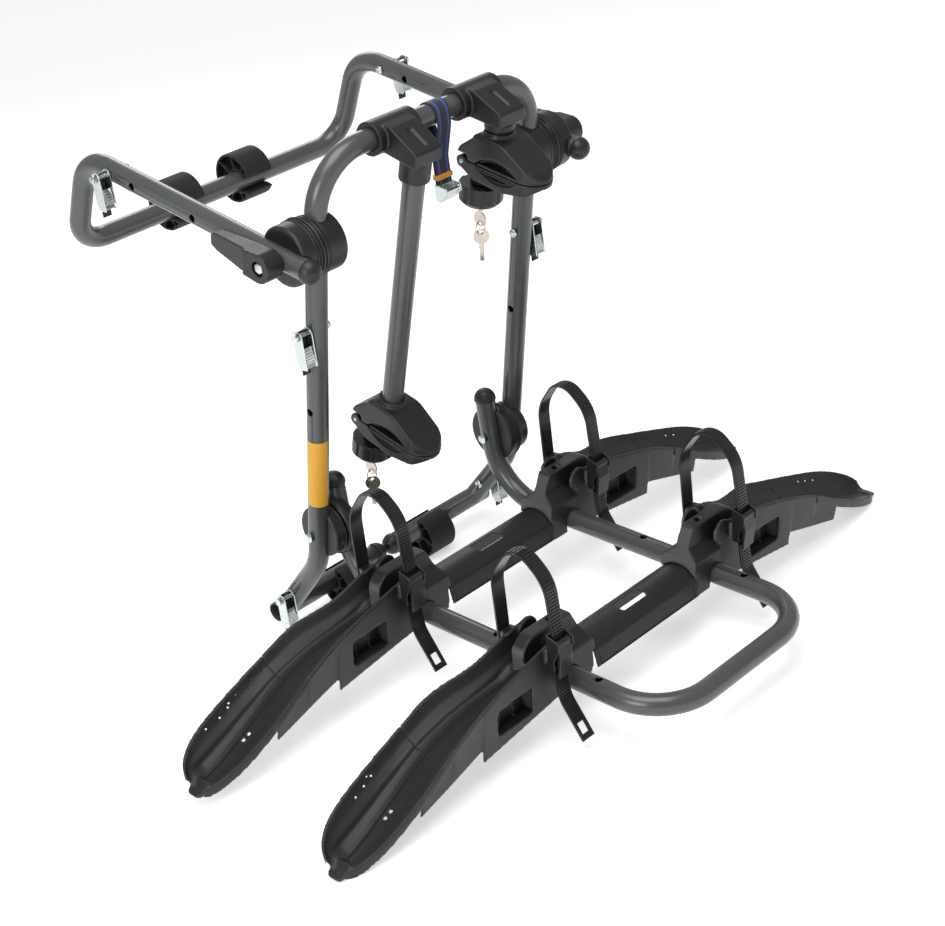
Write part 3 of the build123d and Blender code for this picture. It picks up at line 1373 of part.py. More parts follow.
# The strap's own buckle: a sleeve round both runs, two cheeks in front of it and the cam between them
sleeve_top = -band_down - band_height - 6
cheek_out = band_out + buckle_sheet + 13
with BuildPart() as strap_buckle:
    with BuildSketch(Plane.XY.offset(sleeve_top)):
        Rectangle(2 * band_inside + 2 * buckle_sheet, 2 * band_out + 2 * buckle_sheet)
        Rectangle(2 * band_inside, 2 * band_out, mode=Mode.SUBTRACT)
    extrude(amount=-24)
    with BuildSketch(Plane.YZ):
        with BuildLine():
            Polyline(
                (-band_out - buckle_sheet / 2, sleeve_top - 1),
                (-cheek_out, sleeve_top - 3),
                (-cheek_out, sleeve_top - 13),
                (-band_out - buckle_sheet / 2, sleeve_top - 23),
                close=True,
            )
        make_face()
    extrude(amount=band_inside + buckle_sheet, both=True)
    with BuildSketch(Plane.YZ):
        with Locations((-cheek_out, sleeve_top - 12)):
            Rectangle(2 * (cheek_out - band_out - buckle_sheet), 40)
    extrude(amount=band_inside, both=True, mode=Mode.SUBTRACT)
    with BuildSketch(Plane.YZ):
        with Locations((-cheek_out + 6, sleeve_top - 9)):
            Circle(4)
    extrude(amount=band_inside + buckle_sheet / 2, both=True)
keep("strap_buckle", placed(strap_buckle.part, strap_hang))

# Plain amber strip that hugs the left upright
strip_down = tuple(rail_knuckle_down - up for up in strip_above_knuckle)
with BuildPart() as amber_strip:
    with BuildSketch(Plane.XY.offset(-strip_down[1])):
        with Locations((-mast_half_width, 0)):
            Circle(tube_r + seat_gap + strip_thickness)
            Circle(tube_r + seat_gap, mode=Mode.SUBTRACT)
    extrude(amount=strip_down[1] - strip_down[0])
    with BuildSketch(Plane.XY.offset(-strip_down[1])):
        with Locations((-mast_half_width, 0)):
            with Locations(Rot(0, 0, strip_facing + 180)):
                Rectangle(2 * tube_r * math.cos(math.radians(strip_sweep / 2)), 4 * tube_r)
            with Locations(Rot(0, 0, strip_facing + 180) * Pos(tube_r, 0)):
                Rectangle(2 * tube_r, 4 * tube_r)
    extrude(amount=strip_down[1] - strip_down[0], mode=Mode.SUBTRACT)
keep("amber_strip", placed(amber_strip.part, mast))
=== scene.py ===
# %% [markdown]
# This is a rear bike carrier: bent steel tube, moulded plastic trays and jaws, zinc plated buckles.
# The imported model fixes every size and joint. This script gives the pieces their finish and moulded shape.
# It loads that model first. The dressed carrier may not grow past it.

# %% Load the frame
import json
import math

import bmesh
import bpy
from mathutils import Matrix, Vector


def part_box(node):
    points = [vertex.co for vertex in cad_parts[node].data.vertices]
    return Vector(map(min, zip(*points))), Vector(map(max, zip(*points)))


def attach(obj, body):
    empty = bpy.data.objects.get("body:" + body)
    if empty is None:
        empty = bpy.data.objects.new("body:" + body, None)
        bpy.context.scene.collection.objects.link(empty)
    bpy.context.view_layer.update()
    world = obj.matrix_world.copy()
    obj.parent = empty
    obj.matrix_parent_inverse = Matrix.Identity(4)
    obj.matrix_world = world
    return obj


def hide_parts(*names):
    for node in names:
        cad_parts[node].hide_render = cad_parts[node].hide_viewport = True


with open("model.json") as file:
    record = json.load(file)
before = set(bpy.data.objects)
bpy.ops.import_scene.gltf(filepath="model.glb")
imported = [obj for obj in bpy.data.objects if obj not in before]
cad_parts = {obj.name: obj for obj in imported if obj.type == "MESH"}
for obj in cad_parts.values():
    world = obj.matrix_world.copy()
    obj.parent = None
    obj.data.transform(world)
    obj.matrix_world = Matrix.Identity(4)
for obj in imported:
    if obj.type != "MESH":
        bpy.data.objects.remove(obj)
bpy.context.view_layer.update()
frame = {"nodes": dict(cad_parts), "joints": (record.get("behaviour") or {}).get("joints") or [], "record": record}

# %% [markdown]
# The photograph was taken from the front left and above, with a long lens and a slightly tilted camera.
# The camera comes early, so that every later step can be looked at from the same place.
# Its place and angles were fitted to the tubes. The lens follows from the picture's 945 pixels of width.

# %% Camera
scene = bpy.context.scene
scene.view_settings.view_transform = "Standard"

mm = 0.001
camera_place = Vector((-1728.7, -1879.8, 1456.4)) * mm
camera_azimuth = math.radians(-42.97)
camera_elevation = math.radians(25.57)
camera_roll = math.radians(-8.19)
focal_pixels = 1989.6
picture_width = 945
sensor_width = 36.0

camera_data = bpy.data.cameras.new("camera")
camera_data.sensor_fit = "HORIZONTAL"
camera_data.sensor_width = sensor_width
camera_data.lens = focal_pixels / picture_width * sensor_width
camera_data.dof.use_dof = False
camera = bpy.data.objects.new("camera", camera_data)
scene.collection.objects.link(camera)
camera.matrix_world = (
    Matrix.Translation(camera_place)
    @ Matrix.Rotation(camera_azimuth, 4, "Z")
    @ Matrix.Rotation(math.pi / 2 - camera_elevation, 4, "X")
    @ Matrix.Rotation(camera_roll, 4, "Z")
)
scene.camera = camera
print("lens:", round(camera_data.lens, 1), "mm")

# %% [markdown]
# The platform falls a little to the front and the jaws hang at a slant, so the trays and the jaws have axes
# of their own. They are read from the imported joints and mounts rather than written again, which keeps
# details in place if the carrier's angles ever change. Sizes are written in millimetres, as on a drawing,
# and turned to Blender's metres with mm.

# %% Axes of the trays and the jaws
joints = {joint["name"]: joint for joint in frame["joints"]}
mounts = {mount["name"]: mount for mount in frame["record"]["mounts"]}
sideways = Vector((1, 0, 0))


def pivot(joint):
    """Where a joint's axis lies, in metres."""
    return Vector(joints[joint]["pos_m"])


def axes(origin, up):
    """Matrix of a frame with X sideways and Z along up."""
    up = up.normalized()
    columns = (sideways, up.cross(sideways), up, origin)
    return Matrix([[column[row] for column in columns] for row in range(3)] + [[0, 0, 0, 1]])


front_bar_y = -490.5
tray_y = {"rear": -37.0, "front": -301.0}
deck_up = Vector(mounts["rail_hole_front_left"]["axis"])
front_bar_axes = axes(Vector(mounts["front_bar"]["pos_m"]), deck_up)
tray_axes = {
    tray: front_bar_axes @ Matrix.Translation((0, (y - front_bar_y) * mm, 0))
    for tray, y in tray_y.items()
}

jaw_pin_place = Vector((0, 42, -4)) * mm
mouth_axes = {}
for arm in ("long", "short"):
    pin_axes = axes(pivot(f"{arm}_jaw_open"), Vector(joints[f"{arm}_knob_turn"]["axis"]))
    mouth_axes[arm] = pin_axes @ Matrix.Translation(-jaw_pin_place)
fall = math.degrees(abs(math.atan2(deck_up.y, deck_up.z)))
print("platform falls", round(fall, 1), "degrees")

# %% [markdown]
# Each finish below is a node material named for what the real surface is.
# A colour code is an sRGB value, but Blender's shaders work in linear light, so one function converts it.
# One more function adds a node with its settings and links. Everything else is written where it is used.

# %% Colour and node helpers


def linear(code):
    """Linear colour from an sRGB hex code: the sRGB curve has a straight toe and a power part."""
    channels = [int(code[i : i + 2], 16) / 255 for i in (1, 3, 5)]
    toe_end, toe_slope = 0.04045, 12.92
    offset, power = 0.055, 2.4
    curve = [c / toe_slope if c <= toe_end else ((c + offset) / (1 + offset)) ** power for c in channels]
    return (*curve, 1.0)


def add_node(tree, kind, inputs=None, **settings):
    """Adds a shader node; each input is a value or the socket that feeds it."""
    node = tree.nodes.new(kind)
    for name, value in settings.items():
        setattr(node, name, value)
    for name, value in (inputs or {}).items():
        if isinstance(value, bpy.types.NodeSocket):
            tree.links.new(value, node.inputs[name])
        else:
            node.inputs[name].default_value = value
    return node


def start_material(name):
    """A new node material: itself, its tree, its shader and the socket of the piece's coordinates."""
    material = bpy.data.materials.new(name)
    material.use_nodes = True
    tree = material.node_tree
    place = add_node(tree, "ShaderNodeTexCoord").outputs["Object"]
    return material, tree, tree.nodes["Principled BSDF"], place


print("mid grey in linear light:", round(linear("#808080")[0], 3))

# %% [markdown]
# The tubes are steel with an anthracite powder coat, baked on, which gives a soft gloss and a faint orange
# peel. Real orange peel is about 1 mm across and very shallow, so it goes in the bump, not in the colour.
# Slow noise lets the shade drift a little along a tube, as a thicker or thinner coat does.

# %% Powder coat
peel_size = 1.1 * mm
peel_depth = 0.05 * mm
drift_size = 60 * mm

powder_coat, tree, shader, place = start_material("powder_coated_steel")
drift = add_node(tree, "ShaderNodeTexNoise", {"Vector": place, "Scale": 1 / drift_size, "Detail": 3.0})
tone = add_node(tree, "ShaderNodeMix", {"Factor": drift.outputs["Fac"]}, data_type="RGBA")
tone.inputs[6].default_value = linear("#4a4d4f")
tone.inputs[7].default_value = linear("#57595b")
tree.links.new(tone.outputs[2], shader.inputs["Base Color"])
gloss = add_node(
    tree, "ShaderNodeMapRange", {"Value": drift.outputs["Fac"], "To Min": 0.25, "To Max": 0.34}
)
tree.links.new(gloss.outputs["Result"], shader.inputs["Roughness"])
peel = add_node(tree, "ShaderNodeTexNoise", {"Vector": place, "Scale": 1 / peel_size, "Detail": 2.0})
bump = add_node(
    tree, "ShaderNodeBump", {"Height": peel.outputs["Fac"], "Strength": 0.12, "Distance": peel_depth}
)
tree.links.new(bump.outputs["Normal"], shader.inputs["Normal"])
shader.inputs["Metallic"].default_value = 0.25
shader.inputs["IOR"].default_value = 1.5
shader.inputs["Coat Weight"].default_value = 0.3
shader.inputs["Coat Roughness"].default_value = 0.18
print("powder coat with orange peel of", peel_size / mm, "mm")

# %% [markdown]
# Trays, jaws and knuckles are moulded plastic, filled with glass, straight from a grained steel mould.
# The grain scatters light, which gives the wide soft sheen of such parts. Real grain is about 0.3 mm,
# too fine for this picture, so it is drawn three times as coarse. Sharp edges are painted paler: a painted
# highlight.

# %% Moulded plastics
plastic_grain = 0.9 * mm
grain_depth = 0.06 * mm
patch_size = 35 * mm


def moulded_plastic(name, own_colour, highlight_colour, rough_low, rough_high, grain_strength):
    """Grained plastic or rubber; the two colours are its own and a painted highlight on its sharp edges."""
    material, tree, shader, place = start_material(name)
    patches = add_node(
        tree, "ShaderNodeTexNoise", {"Vector": place, "Scale": 1 / patch_size, "Detail": 5.0}
    )
    edge = add_node(tree, "ShaderNodeNewGeometry")
    # Convex edges get the paler colour, stronger in random patches: a painted highlight, not wear.
    painted_edge_highlight = add_node(
        tree,
        "ShaderNodeMapRange",
        {"Value": edge.outputs["Pointiness"], "From Min": 0.5, "From Max": 0.58, "To Max": 0.8},
    )
    amount = add_node(
        tree,
        "ShaderNodeMath",
        {0: painted_edge_highlight.outputs["Result"], 1: patches.outputs["Fac"]},
        operation="MULTIPLY",
    )
    colour = add_node(tree, "ShaderNodeMix", {"Factor": amount.outputs[0]}, data_type="RGBA")
    colour.inputs[6].default_value = linear(own_colour)
    colour.inputs[7].default_value = linear(highlight_colour)
    tree.links.new(colour.outputs[2], shader.inputs["Base Color"])
    sheen = add_node(
        tree,
        "ShaderNodeMapRange",
        {"Value": patches.outputs["Fac"], "To Min": rough_low, "To Max": rough_high},
    )
    tree.links.new(sheen.outputs["Result"], shader.inputs["Roughness"])
    grain = add_node(tree, "ShaderNodeTexVoronoi", {"Vector": place, "Scale": 1 / plastic_grain})
    bump = add_node(
        tree,
        "ShaderNodeBump",
        {"Height": grain.outputs["Distance"], "Strength": grain_strength, "Distance": grain_depth},
    )
    tree.links.new(bump.outputs["Normal"], shader.inputs["Normal"])
    shader.inputs["IOR"].default_value = 1.49
    return material


# The second colour of each plastic is the painted highlight on its sharp edges.
tray_plastic = moulded_plastic("glass_filled_polypropylene", "#171718", "#3b3c3d", 0.4, 0.54, 0.22)
knuckle_plastic = moulded_plastic("nylon_castings", "#19191a", "#404142", 0.34, 0.48, 0.2)
lever_plastic = moulded_plastic("nylon_levers", "#1c1c1d", "#424344", 0.34, 0.46, 0.12)
print("plastics with a grain of", plastic_grain / mm, "mm")

# %% [markdown]
# The walls of the wheel towers that face along the tray get a paler colour, in the same plastic: painted light,
# as if these walls caught the lamp from the side. Their sharp edges carry the same painted highlight as the other
# plastics. The painted light is mixed in by the direction that a wall faces, which stays the same when the
# platform folds.
# The shade is mixed in by the direction that a wall faces, which stays the same when the platform folds.

# %% Towers with painted light on their end walls
tower_plastic_with_painted_light = moulded_plastic("polypropylene_with_painted_light_on_end_walls", "#171718", "#3b3c3d", 0.4, 0.54, 0.22)
tree = tower_plastic_with_painted_light.node_tree
shader = tree.nodes["Principled BSDF"]
dark_socket = shader.inputs["Base Color"].links[0].from_socket
facing = add_node(tree, "ShaderNodeNewGeometry")
sides = add_node(tree, "ShaderNodeSeparateXYZ", {"Vector": facing.outputs["True Normal"]})
endwise = add_node(tree, "ShaderNodeMath", {0: sides.outputs["X"]}, operation="ABSOLUTE")
# Walls square to the tray's length take the pale colour: painted light.
painted_light_share = add_node(
    tree, "ShaderNodeMapRange", {"Value": endwise.outputs[0], "From Min": 0.8, "From Max": 0.93}
)
painted_light_walls = add_node(tree, "ShaderNodeMix", {"Factor": painted_light_share.outputs["Result"]}, data_type="RGBA")
tree.links.new(dark_socket, painted_light_walls.inputs[6])
painted_light_walls.inputs[7].default_value = linear("#57585a")
tree.links.new(painted_light_walls.outputs[2], shader.inputs["Base Color"])
print("walls square to the tray's length turn pale")

# %% [markdown]
# Rubber is duller than the plastics and almost black. The wheel straps are a softer rubbery plastic
# that shines where it bends, so they get a lower roughness. Both take a fine grain from the mould.

# %% Rubber and strap plastic
# The second colour of each is the painted highlight on its sharp edges.
rubber = moulded_plastic("moulded_rubber", "#131313", "#2b2b2b", 0.6, 0.78, 0.3)
strap_plastic = moulded_plastic("strap_elastomer", "#101011", "#2e2f30", 0.24, 0.36, 0.06)
print("rubber is rougher than the straps")

# %% [markdown]
# Buckles, bolts and screws are steel with bright zinc, passivated clear blue. The tint drifts in
# soft patches, and fine scratches from the barrel, where such parts are plated in bulk, break up the shine.
# Keys are nickel plated brass, smoother and a little warmer.

# %% Plated metals
plating_patch = 9 * mm
scratch_size = 0.8 * mm
scratch_depth = 0.04 * mm


def plated_metal(name, cool, warm, rough_low, rough_high):
    """Bright plating whose tint drifts between two colours."""
    material, tree, shader, place = start_material(name)
    patch = add_node(
        tree, "ShaderNodeTexNoise", {"Vector": place, "Scale": 1 / plating_patch, "Detail": 4.0}
    )
    tint = add_node(tree, "ShaderNodeMix", {"Factor": patch.outputs["Fac"]}, data_type="RGBA")
    tint.inputs[6].default_value = linear(cool)
    tint.inputs[7].default_value = linear(warm)
    tree.links.new(tint.outputs[2], shader.inputs["Base Color"])
    dull = add_node(
        tree,
        "ShaderNodeMapRange",
        {"Value": patch.outputs["Fac"], "To Min": rough_low, "To Max": rough_high},
    )
    tree.links.new(dull.outputs["Result"], shader.inputs["Roughness"])
    scratch = add_node(
        tree, "ShaderNodeTexNoise", {"Vector": place, "Scale": 1 / scratch_size, "Detail": 6.0}
    )
    bump = add_node(
        tree,
        "ShaderNodeBump",
        {"Height": scratch.outputs["Fac"], "Strength": 0.15, "Distance": scratch_depth},
    )
    tree.links.new(bump.outputs["Normal"], shader.inputs["Normal"])
    shader.inputs["Metallic"].default_value = 1.0
    return material


zinc = plated_metal("zinc_plated_steel", "#b9ccd6", "#e6e4d8", 0.2, 0.36)
nickel = plated_metal("nickel_plated_brass", "#b9b3a6", "#cfc8b8", 0.2, 0.32)
print("zinc and nickel with scratches of", scratch_size / mm, "mm")

# %% [markdown]
# The spare strap is woven polypropylene webbing: black, with a blue stripe near each edge.
# The stripes are mixed by the distance from the strap's middle, and the weave is a twill in the bump.
# The band round it is plain natural rubber, and the strip on the upright is a plain amber film.

# %% Webbing, band and film
strap_middle = 12 * mm
stripe_out = 7.6 * mm
stripe_half = 1.7 * mm
thread = 0.9 * mm
thread_height = 0.2 * mm


def woven(name, yarn):
    """Black woven webbing; its shader still takes a colour pattern."""
    material, tree, shader, place = start_material(name)
    weave = add_node(
        tree,
        "ShaderNodeTexWave",
        {"Vector": place, "Scale": 1 / (thread * 2 * math.pi), "Distortion": 0.6},
        bands_direction="DIAGONAL",
    )
    bump = add_node(
        tree, "ShaderNodeBump", {"Height": weave.outputs["Fac"], "Strength": 0.6, "Distance": thread_height}
    )
    tree.links.new(bump.outputs["Normal"], shader.inputs["Normal"])
    shader.inputs["Base Color"].default_value = linear(yarn)
    shader.inputs["Roughness"].default_value = 0.75
    shader.inputs["Sheen Weight"].default_value = 0.3
    return material, tree, shader, place


black_webbing = woven("black_webbing", "#121317")[0]
webbing, tree, shader, place = woven("striped_webbing", "#14151a")
split = add_node(tree, "ShaderNodeSeparateXYZ", {"Vector": place})
aside = add_node(tree, "ShaderNodeMath", {0: split.outputs["X"], 1: strap_middle}, operation="SUBTRACT")
from_middle = add_node(tree, "ShaderNodeMath", {0: aside.outputs[0]}, operation="ABSOLUTE")
stripe = add_node(
    tree,
    "ShaderNodeMath",
    {0: from_middle.outputs[0], 1: stripe_out, 2: stripe_half},
    operation="COMPARE",
)
colour = add_node(tree, "ShaderNodeMix", {"Factor": stripe.outputs[0]}, data_type="RGBA")
colour.inputs[6].default_value = linear("#14151a")
colour.inputs[7].default_value = linear("#2a4aa0")
tree.links.new(colour.outputs[2], shader.inputs["Base Color"])

# The second colour of each is the painted highlight on its sharp edges.
natural_rubber = moulded_plastic("natural_rubber_band", "#d8902c", "#e2a24a", 0.5, 0.6, 0.1)
amber_film = moulded_plastic("amber_film", "#e6aa2c", "#edb73f", 0.34, 0.44, 0.05)
print("stripes", 2 * stripe_half / mm, "mm wide on the spare strap")

# %% [markdown]
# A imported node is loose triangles, and its own mesh must stay as it is. So each piece of the dressed
# carrier is a merged copy that stands for its node. Tubes, bolts and straps keep their exact shape and
# only get smooth shading up to their real edges.

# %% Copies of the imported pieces
slot_of = {part["node"]: part["material_slot"] for part in frame["record"]["subparts"]}
bodies = frame["record"]["behaviour"]["bodies"]
body_of = {node: body for body, members in bodies.items() for node in members}
finish_of_slot = {
    "grey_tube": powder_coat,
    "black_plastic": knuckle_plastic,
    "black_rubber": rubber,
    "strap_rubber": strap_plastic,
    "webbing": webbing,
    "rubber_band": natural_rubber,
    "amber_film": amber_film,
    "zinc": zinc,
    "nickel": nickel,
}
merge_distance = 0.01 * mm
pieces = {}


def copy_of(node):
    """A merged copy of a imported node, as a bmesh."""
    bm = bmesh.new()
    bm.from_mesh(frame["nodes"][node].data)
    bmesh.ops.remove_doubles(bm, verts=bm.verts, dist=merge_distance)
    return bm


def shade(mesh, sharp_degrees=38):
    """Smooth shading that stops at real edges."""
    mesh.polygons.foreach_set("use_smooth", [True] * len(mesh.polygons))
    mesh.set_sharp_from_angle(angle=math.radians(sharp_degrees))


def make_piece(bm, name, material, body, stands_for=()):
    """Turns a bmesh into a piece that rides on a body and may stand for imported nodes."""
    mesh = bpy.data.meshes.new(name)
    bm.to_mesh(mesh)
    bm.free()
    mesh.materials.clear()
    mesh.materials.append(material)
    shade(mesh)
    piece = bpy.data.objects.new(name, mesh)
    scene.collection.objects.link(piece)
    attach(piece, body)
    if stands_for:
        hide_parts(*stands_for)
    pieces[name] = piece
    return piece


# %% [markdown]
# Moulded parts have no sharp edges: every corner has a radius, or the part would stick in its mould.
# Bevels on such busy shapes would run into each other. The Remesh modifier gives an even skin of small
# squares instead, and a few smoothing passes round every edge alike. The squares cut across hollows,
# so the whole skin is set back a little, which keeps the running gaps of levers and knobs open.

# %% Even skins with rounded edges
skin_back = 0.15
skin_edge_degrees = 60


def settle(piece):
    """Applies what the piece's modifiers make."""
    graph = bpy.context.evaluated_depsgraph_get()
    mesh = bpy.data.meshes.new_from_object(piece.evaluated_get(graph))
    old = piece.data
    piece.modifiers.clear()
    piece.data = mesh
    bpy.data.meshes.remove(old)


def soften(piece, square, passes):
    """Gives a piece an even skin with rounded edges."""
    skin = piece.modifiers.new("even skin", "REMESH")
    skin.mode = "VOXEL"
    skin.voxel_size = square * mm
    skin.use_smooth_shade = True
    rounding = piece.modifiers.new("rounded edges", "SMOOTH")
    rounding.factor = 0.5
    rounding.iterations = passes
    running_gap = piece.modifiers.new("running gap", "DISPLACE")
    running_gap.mid_level = 0
    running_gap.strength = -skin_back * mm
    settle(piece)
    shade(piece.data, skin_edge_degrees)


# Words in a node's name, with the size of its squares in millimetres and its smoothing passes
skins = {
    "scoop": (1.9, 3),
    "tray_flaps": (1.9, 2),
    "tray_beams": (1.7, 3),
    "knuckle_housings": (1.4, 4),
    "discs": (1.3, 4),
    "_pads": (1.3, 3),
    "clamp_lever": (1.1, 5),
    "arm_bracket": (1.1, 5),
    "upper_jaw": (1.3, 16),
    "lower_jaw": (1.1, 6),
    "knob": (0.9, 4),
    "ratchet": (0.8, 2),
    "buckle": (0.7, 2),
}
# Words in a node's name, with a finish that differs from its slot's
finishes = {"scoop": tower_plastic_with_painted_light, "tray_": tray_plastic, "lever": lever_plastic, "knob": lever_plastic}
squares_total = 0
for node in sorted(frame["nodes"]):
    slot = slot_of[node]
    finish = next((look for word, look in finishes.items() if word in node), finish_of_slot[slot])
    # Bolts are plated, whatever they hold
    if slot == "zinc":
        finish = zinc
    piece = make_piece(copy_of(node), f"{node}_dressed", finish, body_of[node], [node])
    skin = next((size for word, size in skins.items() if word in node), None)
    if skin:
        soften(piece, *skin)
        squares_total += len(piece.data.polygons)
print(len(pieces), "pieces dressed,", squares_total, "small squares")

# %% [markdown]
# A tyre needs a groove to stand in, so a narrow channel runs along the bottom of each trough, from the
# tower to the tip. The skins are fine enough by now to be pressed like clay: every point near the valley's
# line moves down by a share of the channel's depth, so the flap and the scoop under it keep their gap.

# %% Channel along the troughs
rail_x = 156.0
# Distance outwards from the rail, and place across the tray
valley_line = (
    (59, -8),
    (106, -12),
    (172, -18),
    (229, -20),
    (287, -17),
    (344, -12),
    (379, -9),
    (411, -4),
)
channel_half = 11.0
channel_edge = 2.5
channel_depth = 4.0
channel_start = (66.0, 90.0)
channel_end = (378.0, 400.0)


def smooth_step(value, start, end):
    """Rises smoothly from 0 at start to 1 at end."""
    share = min(max((value - start) / (end - start), 0.0), 1.0)
    return share * share * (3 - 2 * share)


def valley_at(out):
    """Where the valley lies across the tray, at a distance outwards from the rail."""
    for (near, near_w), (far, far_w) in zip(valley_line, valley_line[1:]):
        if out < far:
            return near_w + (far_w - near_w) * (out - near) / (far - near)
    return valley_line[-1][1]


def press_channel(piece, to_tray):
    """Moves the points near the valley down, square to the tray."""
    down = to_tray.inverted().to_3x3() @ Vector((0, 0, -1))
    moved = 0
    for vertex in piece.data.vertices:
        place = to_tray @ vertex.co / mm
        out = abs(place.x) - rail_x
        if out < channel_start[0] or out > channel_end[1]:
            continue
        aside = abs(-place.y - valley_at(out))
        if aside > channel_half + channel_edge:
            continue
        share = 1 - smooth_step(aside, channel_half - channel_edge, channel_half + channel_edge)
        share *= smooth_step(out, *channel_start) * (1 - smooth_step(out, *channel_end))
        vertex.co += down * (channel_depth * share * mm)
        moved += 1
    return moved


flaps = pieces["tray_flaps_dressed"]
for tray, tray_frame in tray_axes.items():
    to_tray = tray_frame.inverted()
    for side in ("left", "right"):
        moved = press_channel(pieces[f"{tray}_scoop_{side}_dressed"], to_tray)
    moved_flap = press_channel(flaps, to_tray)
    print(tray, "channel pressed,", moved, "points on a scoop and", moved_flap, "on the flaps")

# %% [markdown]
# The carrier stands on its rubber feet, but the side walls of the two front flaps reach a few millimetres
# lower at their very tips. A plane shaves that edge off just above the floor, and the cut is closed again.

# %% Flaps level with the floor
tip_gap = 0.3 * mm

bm = bmesh.new()
bm.from_mesh(flaps.data)
geometry = bm.verts[:] + bm.edges[:] + bm.faces[:]
bmesh.ops.bisect_plane(bm, geom=geometry, plane_co=(0, 0, tip_gap), plane_no=(0, 0, 1), clear_inner=True)
bmesh.ops.holes_fill(bm, edges=[edge for edge in bm.edges if edge.is_boundary])
bm.to_mesh(flaps.data)
bm.free()
shade(flaps.data, skin_edge_degrees)
lowest = min(vertex.co.z for vertex in flaps.data.vertices)
print("lowest point of the flaps:", round(lowest / mm, 2), "mm")

# %% [markdown]
# Round beads and ridges are moulded on many parts: round the knuckles, along the lips of the jaws and as a
# frame on the skirts of the beams. Each is a thin tube along a line, and a curve with a round bevel makes
# that in one step. The curve is made a mesh at once, so that it can be placed and joined like the rest.

# %% Beads along a line


def bead(points, radius, closed=False):
    """A bmesh tube along points in millimetres, in metres."""
    line = bpy.data.curves.new("bead", "CURVE")
    line.dimensions = "3D"
    line.bevel_depth = radius * mm
    line.bevel_resolution = 2
    line.use_fill_caps = not closed
    spline = line.splines.new("POLY")
    spline.points.add(len(points) - 1)
    for spot, point in zip(spline.points, points):
        spot.co = (*(Vector(point) * mm), 1)
    spline.use_cyclic_u = closed
    holder = bpy.data.objects.new("bead", line)
    mesh = bpy.data.meshes.new_from_object(holder)
    bm = bmesh.new()
    bm.from_mesh(mesh)
    bpy.data.objects.remove(holder)
    bpy.data.curves.remove(line)
    bpy.data.meshes.remove(mesh)
    bmesh.ops.remove_doubles(bm, verts=bm.verts, dist=merge_distance)
    bmesh.ops.recalc_face_normals(bm, faces=bm.faces)
    return bm


def join(whole, part, matrix=None):
    """Adds one bmesh to another, placed by a matrix, and frees it."""
    if matrix:
        bmesh.ops.transform(part, matrix=matrix, verts=part.verts)
    mesh = bpy.data.meshes.new("part")
    part.to_mesh(mesh)
    part.free()
    whole.from_mesh(mesh)
    bpy.data.meshes.remove(mesh)


def circle_points(centre, radius, count=64):
    """Points on a circle square to X."""
    x, y, z = centre
    turns = [2 * math.pi * step / count for step in range(count)]
    return [(x, y + radius * math.cos(turn), z + radius * math.sin(turn)) for turn in turns]


# Joint, body, and for each bead: distance from the middle of the carrier, radius, half thickness
knuckle_beads = (
    ("upper_arm_fold", "main", ((217.3, 40.2, 1.3), (210.0, 40.0, 0.8))),
    ("upper_arm_fold", "upper_arm", ((223.6, 41.4, 1.6), (229.0, 41.2, 1.0), (233.5, 41.0, 0.8))),
    ("platform_fold", "platform", ((176.6, 42.0, 1.3), (173.0, 42.0, 0.8))),
    ("platform_fold", "main", ((183.2, 38.2, 1.2),)),
)
for joint, body, beads in knuckle_beads:
    whole = bmesh.new()
    centre = pivot(joint) / mm
    for x, radius, half in beads:
        for side in (-1, 1):
            join(whole, bead(circle_points((side * x, centre.y, centre.z), radius), half, closed=True))
    make_piece(whole, f"{joint}_beads_{body}", knuckle_plastic, body)
print("beads on", len(knuckle_beads), "pairs of discs and housings")

# %% [markdown]
# Both lips of a jaw carry ridges that follow its round nose. They stiffen the lip and give the fingers a
# hold. The line goes along one side, round the nose on an arc through its tip, and back along the other.

# %% Ridges on the jaws
jaw_half_width = 28.0
nose_y = -55.0
tip_y = -88.0
side_end_y = 12.0
nose_depth = nose_y - tip_y
nose_r = (jaw_half_width**2 + nose_depth**2) / (2 * nose_depth)
nose_sweep = math.asin(jaw_half_width / nose_r)
ridge_steps = 24


def lip_line(height, inset):
    """Line round the outline of a jaw at a height, a little inside it."""
    sweep = math.pi - nose_sweep if nose_depth > nose_r else nose_sweep
    radius = nose_r - inset
    turns = [-sweep + 2 * sweep * step / ridge_steps for step in range(ridge_steps + 1)]
    nose = [(radius * math.sin(a), tip_y + nose_r - radius * math.cos(a), height) for a in turns]
    side = jaw_half_width - inset
    return [(-side, side_end_y, height), *nose, (side, side_end_y, height)]


# Height, inset and half thickness of each ridge
jaw_ridges = {
    "upper": ((2.2, 0.6, 1.3),),
    "lower": ((-2.6, 0.6, 1.2), (-6.4, 1.2, 1.1)),
}
jaw_body = {"upper": "{}_arm", "lower": "{}_lower_jaw"}
for arm, jaw_frame in mouth_axes.items():
    for lip, ridges in jaw_ridges.items():
        whole = bmesh.new()
        for height, inset, half in ridges:
            join(whole, bead(lip_line(height, inset), half), jaw_frame)
        body = jaw_body[lip].format(arm)
        make_piece(whole, f"{arm}_{lip}_lip_ridges", knuckle_plastic, body)
print("ridges on", 2 * len(mouth_axes), "jaws")

# %% [markdown]
# The sloped skirts of the two centre beams have a raised frame all round. A closed line of four corners
# on each skirt makes it, at the skirt's own slope.

# %% Frames on the beams
skirt_top = (29.4, 12.5)
skirt_low = (35.2, -8.5)
frame_half_length = 101.0
frame_half = 1.4

